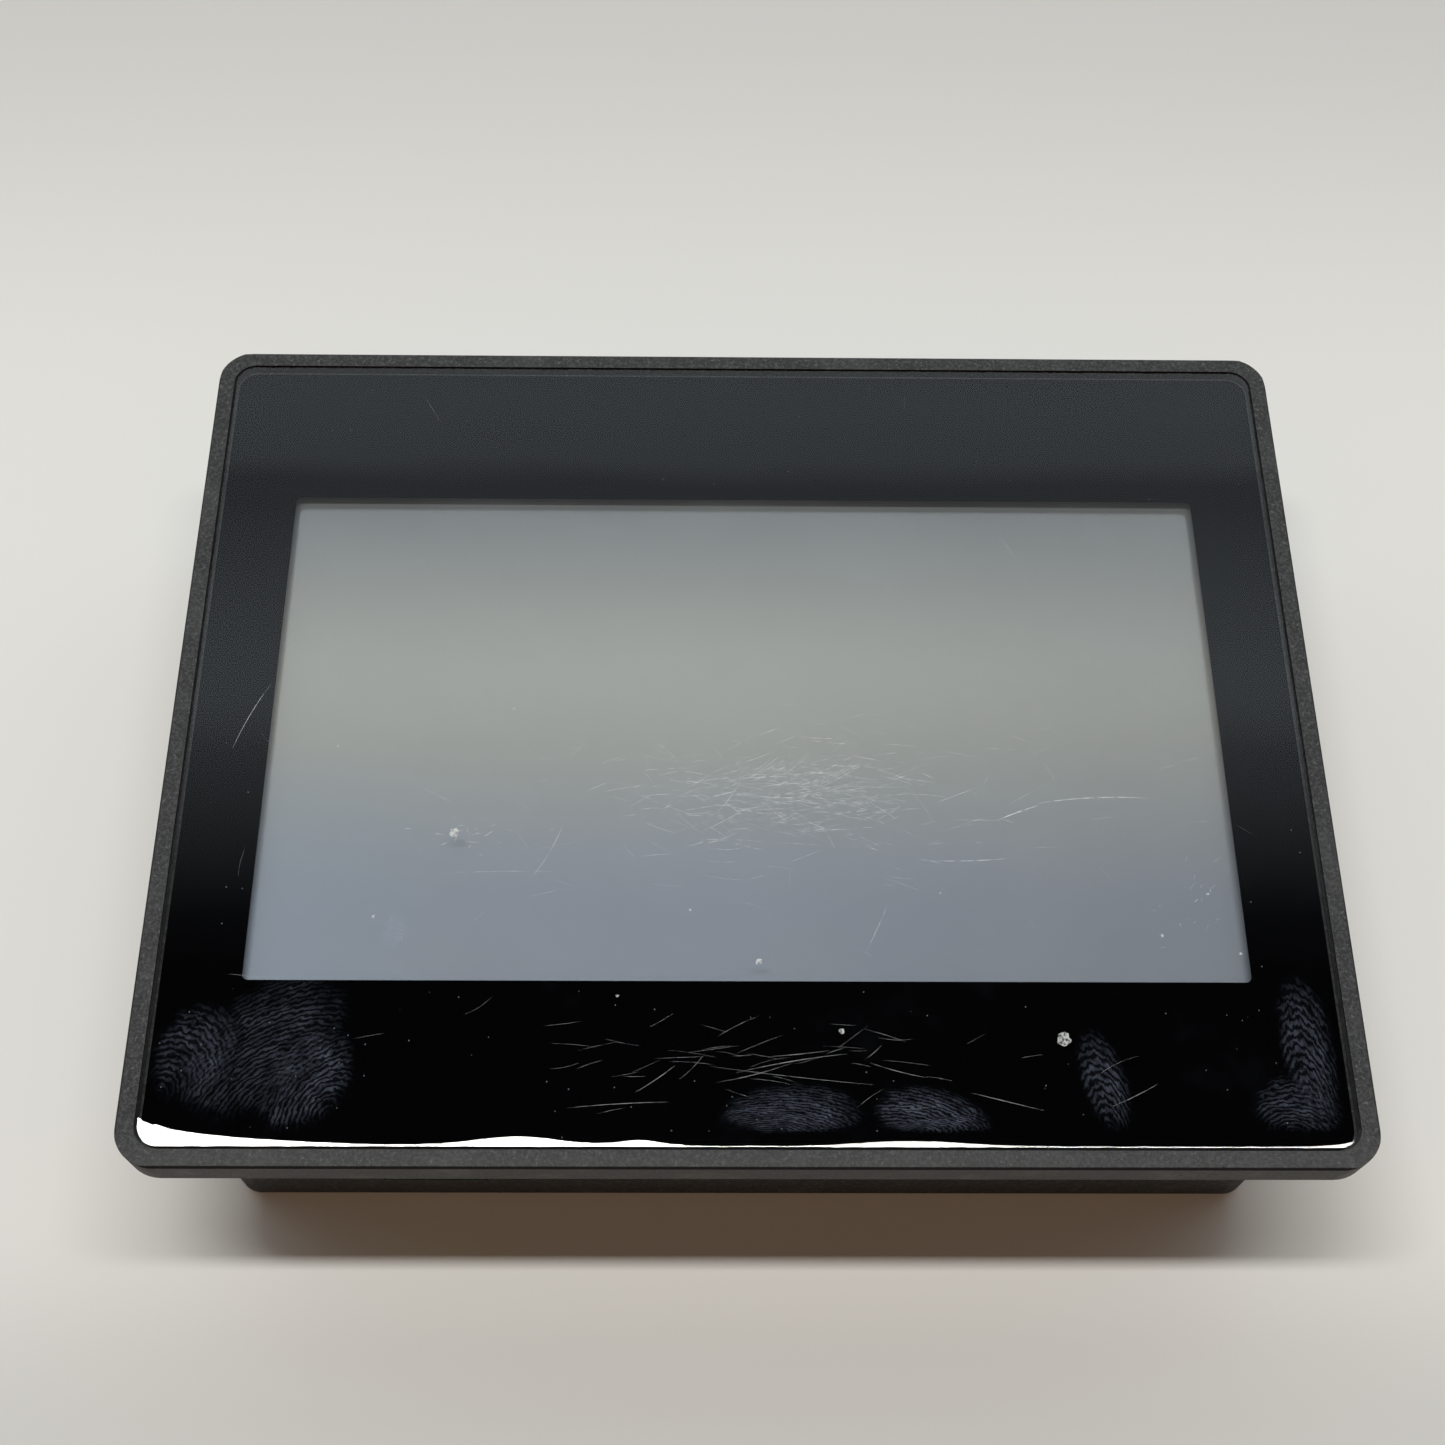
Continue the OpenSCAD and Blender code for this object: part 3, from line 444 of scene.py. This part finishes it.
def finger_mark_material(name, ridges, strength):
    """An uneven oval crossed by curved ridges, given by the piece's own coordinates from -1 to 1."""
    # At scale 1 the wave texture repeats once in tau / 20
    wave_node_factor = 20
    densest = 0.11 * strength
    s = Surface(name, (0.48, 0.57, 0.8), 0.6)
    s.place = s.add("ShaderNodeUVMap").outputs["UV"]
    oval = s.add("ShaderNodeTexGradient", gradient_type="SPHERICAL")
    s.put(s.place, oval.inputs["Vector"])
    bent = s.add("ShaderNodeMapping")
    s.put(s.place, bent.inputs["Vector"])
    bent.inputs["Location"].default_value = (0.3, 0.85, 0)
    rings = s.add("ShaderNodeTexWave", wave_type="RINGS", rings_direction="SPHERICAL")
    s.put(bent.outputs["Vector"], rings.inputs["Vector"])
    rings.inputs["Scale"].default_value = ridges * math.tau / wave_node_factor
    rings.inputs["Distortion"].default_value = 7
    rings.inputs["Detail"].default_value = 4
    rings.inputs["Detail Scale"].default_value = 2.2
    patch = s.noise(0.3, 5, 0.7)
    lines = s.step(rings.outputs["Fac"], 0.25, 0.85, 0.1, 1.2)
    pressed = s.step(patch, 0.3, 0.75, 0.15, 1.0)
    edge = s.step(s.math("ADD", oval.outputs["Fac"], s.math("MULTIPLY", patch, 0.5)), 0.25, 0.85)
    amount = s.math("MULTIPLY", s.math("MULTIPLY", edge, lines), pressed)
    amount = s.math("MULTIPLY", amount, s.step(oval.outputs["Fac"], 0.0, 0.3, 0, densest))
    clear = s.add("ShaderNodeBsdfTransparent").outputs[0]
    s.show(s.blend(amount, clear, s.shader.outputs[0]))
    return s.material


def make_finger_mark(number, middle, half_size, turn, ridges, strength):
    """A thin oval film of grease on the glass."""
    name = "finger_mark_%d" % number
    points = 32
    side_margin = 1.5 * MM
    near_margin = 2 * MM
    angle = math.radians(turn)
    spots = [(math.cos(math.tau * i / points), math.sin(math.tau * i / points)) for i in range(points)]
    corners = []
    for u, v in spots:
        x = middle[0] + u * half_size[0] * math.cos(angle) - v * half_size[1] * math.sin(angle)
        y = middle[1] + u * half_size[0] * math.sin(angle) + v * half_size[1] * math.cos(angle)
        corners.append((min(x * MM, glass_high.x - side_margin), max(y * MM, glass_low.y + near_margin),
                        GLASS_TOP + MARK_LIFT))
    mesh = bpy.data.meshes.new(name)
    mesh.from_pydata(corners, [], [range(points)])
    layer = mesh.uv_layers.new(name="own")
    for loop in mesh.loops:
        layer.data[loop.index].uv = spots[loop.vertex_index]
    mesh.materials.append(finger_mark_material(name, ridges, strength))
    piece = bpy.data.objects.new(name, mesh)
    bpy.context.collection.objects.link(piece)
    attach(piece, BODY)


# ---- Scratches and specks on the glass ----

def ribbon_along(shape, points, width, z):
    """Adds a thin flat strip along the points, narrowing to nothing at both ends."""
    left, right = [], []
    for i, p in enumerate(points):
        a = points[max(i - 1, 0)]
        b = points[min(i + 1, len(points) - 1)]
        along = (b - a).normalized()
        side = Vector((-along.y, along.x)) * width / 2
        taper = math.sin(math.pi * (0.04 + 0.92 * i / (len(points) - 1)))
        left.append(shape.verts.new((*(p + side * taper), z)))
        right.append(shape.verts.new((*(p - side * taper), z)))
    for i in range(len(points) - 1):
        shape.faces.new((right[i], right[i + 1], left[i + 1], left[i]))


def arc_points(start, heading, length, bend, count=9):
    """Points of a curve that starts at start, heading in degrees, and turns by bend degrees in all."""
    points = [Vector(start)]
    for i in range(count - 1):
        angle = math.radians(heading + bend * (i + 0.5) / (count - 1))
        points.append(points[-1] + Vector((math.cos(angle), math.sin(angle))) * length / (count - 1))
    return points


# Single scratches: start in millimetres, heading, length, bend and width
LONG_SCRATCHES = [
    ((40, -17.5), 24, 7, -6, 0.16),
    ((46.5, -14.6), 10, 18, -14, 0.13),
    ((29, -24.6), -2, 12, 8, 0.1),
    ((-83, -5.5), 74, 13, -14, 0.08),
    ((-34, -28), 55, 12, 18, 0.05),
    ((18, -40), 62, 9, 6, 0.06),
    ((-2, -59), 14, 17, -8, 0.05),
    ((3, -56.5), 4, 9, 4, 0.04),
    ((-6, -58), -8, 25, 3, 0.03),
    ((18, -57.4), -20, 9, 10, 0.04),
    ((-27, -64.4), 6, 15, -5, 0.04),
    ((-5, -60.5), 9, 12, 12, 0.035),
    ((33, -62), -14, 11, 0, 0.045),
    ((54, -64), 22, 8, 8, 0.05),
    ((-17, -62), 30, 7, 10, 0.05),
    ((-48, -27), 3, 18, -4, 0.04),
]


# Groups of random scratches: centre, spread, count, length, heading and its spread, width
SCRATCH_GROUPS = [
    ((4, -13.5), (11, 4.2), 260, 9, (4, 16), 0.05),
    ((4, -12.5), (22, 8), 120, 8, (0, 25), 0.03),
    ((0, -58), (24, 4.5), 50, 8, (5, 20), 0.024),
    ((0, -10), (50, 28), 90, 7, (20, 60), 0.02),
    ((-45, -20), (4.5, 1.6), 26, 2, (30, 30), 0.07),
    ((70, -33), (3, 4), 20, 1.6, (60, 40), 0.06),
]


def scratch_cluster(draw, centre, spread, count, length, heading, width):
    """Random fine scratches round centre, as starting values for arc_points."""
    bend_spread = 14
    found = []
    for _ in range(count):
        spot = Vector((draw.gauss(centre[0], spread[0]), draw.gauss(centre[1], spread[1])))
        found.append((spot, draw.gauss(*heading), draw.uniform(0.3, 1) * length, draw.gauss(0, bend_spread),
                      width * draw.uniform(0.5, 1)))
    return found


def scratch_material():
    s = Surface("scratch", (0.8, 0.83, 0.85), 0.4)
    clear = s.add("ShaderNodeBsdfTransparent").outputs[0]
    s.show(s.blend(s.step(s.noise(1.2 * MM, 2), 0.3, 0.65, 0.25, 0.75), clear, s.shader.outputs[0]))
    return s.material


def make_scratches():
    """All scratches as one thin mesh that lies on the glass."""
    draw = random.Random(7)
    limit_x = glass_high.x - 4 * MM
    limit_y = glass_high.y - 5 * MM
    scratches = [(Vector(start), heading, length, bend, width)
                 for start, heading, length, bend, width in LONG_SCRATCHES]
    for group in SCRATCH_GROUPS:
        scratches += scratch_cluster(draw, *group)
    shape = bmesh.new()
    for start, heading, length, bend, width in scratches:
        points = [p * MM for p in arc_points(start, heading, length, bend)]
        if all(abs(p.x) < limit_x and abs(p.y) < limit_y for p in points):
            ribbon_along(shape, points, width * MM, GLASS_TOP + SCRATCH_LIFT)
    mesh = bpy.data.meshes.new("glass_scratches")
    shape.to_mesh(mesh)
    shape.free()
    mesh.materials.append(scratch_material())
    piece = bpy.data.objects.new("glass_scratches", mesh)
    bpy.context.collection.objects.link(piece)
    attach(piece, BODY)


# Specks: place in millimetres and size across
SPECKS = [
    ((1.6, -41.5), 1.1), ((47.5, -53.8), 2.4), ((-46.4, -20), 1.6), ((14, -52.5), 0.9),
    ((-58, -34.3), 0.6), ((64, -37), 0.7), ((72, -30), 0.6), ((-66, -5), 0.4), ((30, -30), 0.4),
    ((-20, -47), 0.5), ((-38, 2), 0.3), ((52, 21), 0.3), ((76, -40), 0.5), ((-9, -33), 0.4),
]


def make_specks():
    """Dried spots and lint on the glass: low domes with an uneven edge."""
    draw = random.Random(11)
    points = 14
    # Share of the radius and height above the glass in millimetres, from the rim in
    dome = ((1.0, 0.004), (0.7, 0.03), (0.3, 0.045))
    shape = bmesh.new()
    for (x, y), size in SPECKS:
        radii = [size / 2 * draw.uniform(0.75, 1.1) for _ in range(points)]
        rings = []
        for share, lift in dome:
            rings.append([shape.verts.new((
                (x + radii[i] * share * math.cos(math.tau * i / points)) * MM,
                (y + radii[i] * share * math.sin(math.tau * i / points)) * MM,
                GLASS_TOP + lift * MM)) for i in range(points)])
        for low, high in zip(rings, rings[1:]):
            for i in range(points):
                k = (i + 1) % points
                shape.faces.new((low[i], low[k], high[k], high[i]))
        shape.faces.new(rings[-1])
    mesh = bpy.data.meshes.new("dried_spots")
    shape.to_mesh(mesh)
    shape.free()
    for face in mesh.polygons:
        face.use_smooth = True
    s = Surface("dried_spot", (0.62, 0.64, 0.64), 0.7)
    clear = s.add("ShaderNodeBsdfTransparent").outputs[0]
    s.show(s.blend(s.step(s.noise(0.5 * MM, 3), 0.35, 0.6, 0.15, 0.8), clear, s.shader.outputs[0]))
    mesh.materials.append(s.material)
    piece = bpy.data.objects.new("dried_spots", mesh)
    bpy.context.collection.objects.link(piece)
    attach(piece, BODY)


# ---- Materials of the inner parts and the sockets ----

def metal(name, color, roughness, grain, stretch=(1, 1, 1), stain=0.3):
    """Metal with fine marks along its rolling or turning direction and darker stains."""
    s = Surface(name, color, roughness, 1.0)
    lines = s.noise(grain, 3, 0.6, s.mapped(scale=stretch))
    stains = s.step(s.noise(6 * MM, 4, 0.6), 0.45, 0.75)
    tone = s.mix(s.math("MULTIPLY", stains, stain), color, shade(color, 0.55))
    s.paint(color=tone, roughness=s.step(lines, 0.3, 0.7, roughness - 0.08, roughness + 0.1),
            normal=s.bump(lines, 0.004 * MM))
    return s.material


def moulded(name, color, roughness=0.45, grain=0.25 * MM, depth=0.01 * MM, shift=0.8):
    """Moulded plastic or resin with slight unevenness in tone and gloss."""
    s = Surface(name, color, roughness)
    cloud = s.noise(5 * MM, 4)
    fine = s.noise(grain, 3)
    s.paint(color=s.mix(cloud, shade(color, shift), shade(color, 2 - shift)),
            roughness=s.step(cloud, 0.3, 0.7, roughness - 0.05, roughness + 0.08),
            normal=s.bump(fine, depth))
    return s.material


def circuit_board():
    """Solder mask over a pattern of tracks and pads."""
    s = Surface("circuit_board", (0.01, 0.1, 0.04), 0.35)
    blocks = s.cells(2.4 * MM, "F1", "Color", s.mapped(scale=(1, 2.2, 1)))
    gray = s.add("ShaderNodeRGBToBW")
    s.put(blocks, gray.inputs[0])
    stripes = s.add("ShaderNodeTexWave", bands_direction="DIAGONAL")
    s.put(s.place, stripes.inputs["Vector"])
    stripes.inputs["Scale"].default_value = 120
    track = s.math("MULTIPLY", s.step(stripes.outputs["Fac"], 0.45, 0.55), s.step(gray.outputs[0], 0.4, 0.42))
    vias = s.step(s.cells(3.1 * MM), 0.08, 0.1, 1, 0)
    tone = s.mix(track, (0.006, 0.07, 0.028), (0.014, 0.12, 0.05))
    tone = s.mix(vias, tone, (0.5, 0.42, 0.2))
    s.paint(color=tone, normal=s.bump(track, 0.02 * MM))
    return s.material


def flex_ribbon():
    """Amber film with fine copper tracks."""
    s = Surface("ribbon", (0.42, 0.17, 0.04), 0.35)
    tracks = s.add("ShaderNodeTexWave", bands_direction="X")
    s.put(s.place, tracks.inputs["Vector"])
    tracks.inputs["Scale"].default_value = 300
    lines = s.step(tracks.outputs["Fac"], 0.4, 0.6)
    s.paint(color=s.mix(lines, (0.33, 0.12, 0.025), (0.55, 0.26, 0.08)), normal=s.bump(lines, 0.01 * MM))
    return s.material


def foam():
    s = Surface("foam", (0.012, 0.012, 0.013), 0.9)
    pores = s.cells(0.35 * MM)
    # Painted shade: the pore hollows darker
    s.paint(color=s.mix(pores, (0.006, 0.006, 0.007), (0.022, 0.022, 0.024)), normal=s.bump(pores, 0.15 * MM))
    return s.material


def clear_tape():
    s = Surface("clear_tape", (0.7, 0.68, 0.62), 0.4)
    bubbles = s.step(s.cells(1.5 * MM), 0.1, 0.2, 1, 0)
    s.paint(color=s.mix(bubbles, (0.62, 0.6, 0.54), (0.8, 0.78, 0.72)), normal=s.bump(bubbles, 0.02 * MM))
    return s.material


def rating_foil():
    """Blank silver foil with a thin printed border and faint handling marks."""
    s = Surface("label_foil", (0.6, 0.61, 0.62), 0.35, 0.7)
    low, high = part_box("rating_label")
    middle = (low + high) / 2
    place = s.mapped((middle.x, middle.y, 0), 0, ((high.x - low.x) / 2, (high.y - low.y) / 2, 1))
    split = s.add("ShaderNodeSeparateXYZ")
    s.put(place, split.inputs[0])
    across = s.math("ABSOLUTE", split.outputs["X"])
    along = s.math("ABSOLUTE", split.outputs["Y"])
    line = s.math("MAXIMUM", s.math("SUBTRACT", across, 0.955), s.math("SUBTRACT", along, 0.91))
    border = s.math("MULTIPLY", s.step(line, 0, 0.004), s.step(line, 0.012, 0.016, 1, 0))
    brushed = s.noise(0.3 * MM, 3, 0.6, s.mapped(scale=(14, 1, 1)))
    tone = s.mix(brushed, (0.52, 0.53, 0.54), (0.68, 0.69, 0.7))
    s.paint(color=s.mix(border, tone, (0.05, 0.05, 0.055)),
            roughness=s.step(s.noise(8 * MM, 4), 0.3, 0.7, 0.28, 0.45), normal=s.bump(brushed, 0.003 * MM))
    return s.material


def seal_rubber():
    s = Surface("seal_rubber", (0.02, 0.021, 0.022), 0.75)
    chalk = s.step(s.noise(4 * MM, 5, 0.65), 0.45, 0.8)
    pores = s.noise(0.25 * MM, 3)
    s.paint(color=s.mix(chalk, (0.014, 0.0145, 0.015), (0.04, 0.04, 0.041)), normal=s.bump(pores, 0.02 * MM))
    return s.material


MATERIALS = {
    "frame_plastic": frame_plastic,
    "housing_plastic": housing_plastic,
    "black_print": black_print,
    "sensor_film": sensor_film,
    "lcd": display_face,
    "circuit_board": circuit_board,
    "ribbon": flex_ribbon,
    "foam": foam,
    "clear_tape": clear_tape,
    "label_foil": rating_foil,
    "seal_rubber": seal_rubber,
    "tin_plate": lambda: metal("tin_plate", (0.6, 0.61, 0.62), 0.3, 0.4 * MM, (9, 1, 1)),
    "zinc_steel": lambda: metal("zinc_steel", (0.5, 0.52, 0.53), 0.4, 1.5 * MM),
    "screw_steel": lambda: metal("screw_steel", (0.56, 0.57, 0.58), 0.33, 0.25 * MM, (1, 1, 6)),
    "brass": lambda: metal("brass", (0.62, 0.46, 0.17), 0.3, 0.2 * MM, (1, 1, 8)),
    "gold_contact": lambda: metal("gold_contact", (0.75, 0.55, 0.2), 0.25, 0.2 * MM),
    "capacitor_can": lambda: metal("capacitor_can", (0.55, 0.57, 0.6), 0.35, 0.3 * MM, (1, 1, 5), 0.1),
    "ferrite": lambda: moulded("ferrite", (0.03, 0.03, 0.033), 0.6, 0.15 * MM, 0.03 * MM),
    "chip_resin": lambda: moulded("chip_resin", (0.012, 0.012, 0.013), 0.55, 0.1 * MM),
    "black_plastic": lambda: moulded("black_plastic", (0.01, 0.01, 0.011), 0.4),
    "cream_plastic": lambda: moulded("cream_plastic", (0.75, 0.7, 0.55), 0.4, shift=0.93),
    "clear_plastic": lambda: moulded("clear_plastic", (0.85, 0.88, 0.9), 0.12, shift=0.97),
    "led_carrier": lambda: moulded("led_carrier", (0.85, 0.78, 0.45), 0.4, shift=0.92),
    "green_plastic": lambda: moulded("green_plastic", (0.03, 0.23, 0.1), 0.4, shift=0.9),
}


def dress_nodes():
    """Gives each CAD node the material of its slot, and softens the hard edges of the outer parts."""
    made = {}
    for part in frame["record"]["subparts"]:
        name, slot = part["node"], part["material_slot"]
        if slot == "cover_glass":
            continue
        if slot not in made:
            made[slot] = MATERIALS[slot]()
        node = nodes[name]
        node.data.materials.clear()
        node.data.materials.append(made[slot])
    softened = {"front_bezel": 0.08, "rear_housing": 0.25, "terminal_block": 0.1}
    for name, node in nodes.items():
        if name in softened:
            soften(node, softened[name] * MM)
        else:
            keep_edges(node)


def keep_edges(node):
    """Shades each side of a sharp edge by itself."""
    split = node.modifiers.new("sharp_edges", "EDGE_SPLIT")
    split.split_angle = math.radians(30)


def soften(node, width):
    """Rounds the sharp edges of a CAD node by a small bevel."""
    weld = node.modifiers.new("weld", "WELD")
    weld.merge_threshold = 0.001 * MM
    bevel = node.modifiers.new("soft_edges", "BEVEL")
    bevel.width = width
    bevel.segments = 2
    bevel.limit_method = "ANGLE"
    bevel.angle_limit = math.radians(30)
    bevel.harden_normals = True


# ---- Floor, light and camera ----

def make_floor():
    """Pale desk top with faint mottling and a few specks, with painted shade: darker far behind and close in
    front.
    """
    size = 30.0
    mesh = bpy.data.meshes.new("desk")
    corners = [(x * size, y * size, 0) for x, y in ((-1, -1), (1, -1), (1, 1), (-1, 1))]
    mesh.from_pydata(corners, [], [(0, 1, 2, 3)])
    floor = bpy.data.objects.new("desk", mesh)
    bpy.context.collection.objects.link(floor)
    s = Surface("desk", (0.75, 0.74, 0.72), 0.55)
    s.shader.inputs["Specular IOR Level"].default_value = 0.3
    cloud = s.noise(90 * MM, 3)
    grain = s.noise(0.35 * MM, 3, 0.6)
    tone = s.mix(cloud, (0.775, 0.775, 0.755), (0.8, 0.8, 0.78))
    tone = s.mix(s.step(grain, 0.35, 0.65), tone, (0.79, 0.79, 0.77))
    speck = s.step(s.cells(55 * MM), 0.006, 0.012, 0.5, 0)
    split = s.add("ShaderNodeSeparateXYZ")
    s.put(s.place, split.inputs[0])
    # Painted shade: the desk darker far behind and close in front, where less light falls
    back = s.step(split.outputs["Y"], 80 * MM, 230 * MM, 0, 0.95)
    front = s.step(split.outputs["Y"], -108 * MM, -70 * MM, 0.75, 0)
    tone = s.mix(s.math("MAXIMUM", back, front), tone, (0.6, 0.6, 0.585))
    s.paint(color=s.mix(speck, tone, (0.3, 0.28, 0.26)), normal=s.bump(grain, 0.01 * MM))
    mesh.materials.append(s.material)


# The room seen from the side: angle up from the far horizon in degrees, then radiance.
# It is a pale wall, the dark line above it, a bright strip, a dark ceiling and the dim near side.
FAR_TINT = (0.98, 1.1, 1.17)
NEAR_TINT = (0.25, 0.165, 0.11)
ROOM = [
    (0, 0.75, FAR_TINT), (54, 0.9, FAR_TINT), (55.6, 0.8, FAR_TINT), (56.4, 0.45, FAR_TINT),
    (57.4, 0.58, FAR_TINT), (59.3, 0.76, FAR_TINT), (61.5, 0.92, FAR_TINT), (62.8, 0.88, FAR_TINT),
    (64, 0.58, FAR_TINT), (66.1, 0.32, FAR_TINT), (67.4, 0.18, FAR_TINT), (68.6, 0.05, FAR_TINT),
    (70.5, 0.01, FAR_TINT), (96, 0.01, FAR_TINT), (108, 1.0, NEAR_TINT), (180, 1.0, NEAR_TINT),
]


def make_room():
    """World light that depends only on the direction seen from the side, as in a long room."""
    world = bpy.data.worlds.new("room")
    bpy.context.scene.world = world
    world.use_nodes = True
    tree = world.node_tree
    tree.nodes.clear()
    direction = tree.nodes.new("ShaderNodeTexCoord")
    split = tree.nodes.new("ShaderNodeSeparateXYZ")
    tree.links.new(direction.outputs["Generated"], split.inputs[0])
    angle = tree.nodes.new("ShaderNodeMath")
    angle.operation = "ARCTAN2"
    tree.links.new(split.outputs["Z"], angle.inputs[0])
    tree.links.new(split.outputs["Y"], angle.inputs[1])
    share = tree.nodes.new("ShaderNodeMath")
    share.operation = "DIVIDE"
    tree.links.new(angle.outputs[0], share.inputs[0])
    share.inputs[1].default_value = math.pi
    ramp = tree.nodes.new("ShaderNodeValToRGB")
    tree.links.new(share.outputs[0], ramp.inputs[0])
    stops = ramp.color_ramp.elements
    while len(stops) < len(ROOM):
        stops.new(0.5)
    for stop, (degrees, radiance, tint) in zip(stops, ROOM):
        stop.position = degrees / 180
        stop.color = (*shade(tint, radiance), 1)
    background = tree.nodes.new("ShaderNodeBackground")
    tree.links.new(ramp.outputs["Color"], background.inputs["Color"])
    output = tree.nodes.new("ShaderNodeOutputWorld")
    tree.links.new(background.outputs[0], output.inputs["Surface"])


def make_lamp(name, middle_x, length, energy):
    """Long narrow lamp overhead, a little behind the object."""
    height = 1.5
    width = 0.09
    towards_back = 7.0
    near_rim = Vector((0, bezel_low.y, bezel_high.z))
    lamp = bpy.data.lights.new(name, "AREA")
    lamp.shape = "RECTANGLE"
    lamp.size = length
    lamp.size_y = width
    lamp.energy = energy
    lamp.color = (1.0, 0.98, 0.94)
    holder = bpy.data.objects.new(name, lamp)
    holder.location = near_rim + Vector((middle_x, height * math.tan(math.radians(towards_back)), height))
    holder.rotation_euler = (math.radians(-towards_back), 0, 0)
    bpy.context.collection.objects.link(holder)


def make_camera():
    """Camera in front of and above the near side of the glass, looking down at it."""
    above_glass = 284.2 * MM
    before_middle = 143.7 * MM
    left_of_middle = 7.8 * MM
    pitch = math.radians(63.23)
    yaw = math.radians(1.54)
    roll = math.radians(1.63)
    forward = Vector((math.sin(yaw) * math.cos(pitch), math.cos(yaw) * math.cos(pitch), -math.sin(pitch)))
    level = forward.cross(Vector((0, 0, 1))).normalized()
    lift = level.cross(forward)
    right = level * math.cos(roll) + lift * math.sin(roll)
    up = lift * math.cos(roll) - level * math.sin(roll)
    lens = bpy.data.cameras.new("camera")
    lens.lens = 48.66
    lens.sensor_width = 36
    lens.clip_start = 0.01
    camera = bpy.data.objects.new("camera", lens)
    turn = Matrix((right, up, -forward)).transposed().to_4x4()
    spot = Vector((-left_of_middle, -before_middle, GLASS_TOP + above_glass))
    camera.matrix_world = Matrix.Translation(spot) @ turn
    bpy.context.collection.objects.link(camera)
    bpy.context.scene.camera = camera


make_camera()
make_glass()
for index, mark in enumerate(FINGER_MARKS):
    make_finger_mark(index + 1, *mark)
make_scratches()
make_specks()
dress_nodes()
make_floor()
make_room()
make_lamp("lamp_left", -0.34, 0.7, 10)
make_lamp("lamp_right", 0.34, 0.66, 6)
bpy.context.scene.view_settings.view_transform = "Standard"
# A ray through the marks and the clear layers under them passes more see-through faces than the usual 8
bpy.context.scene.cycles.transparent_max_bounces = 24

bpy.context.view_layer.update()
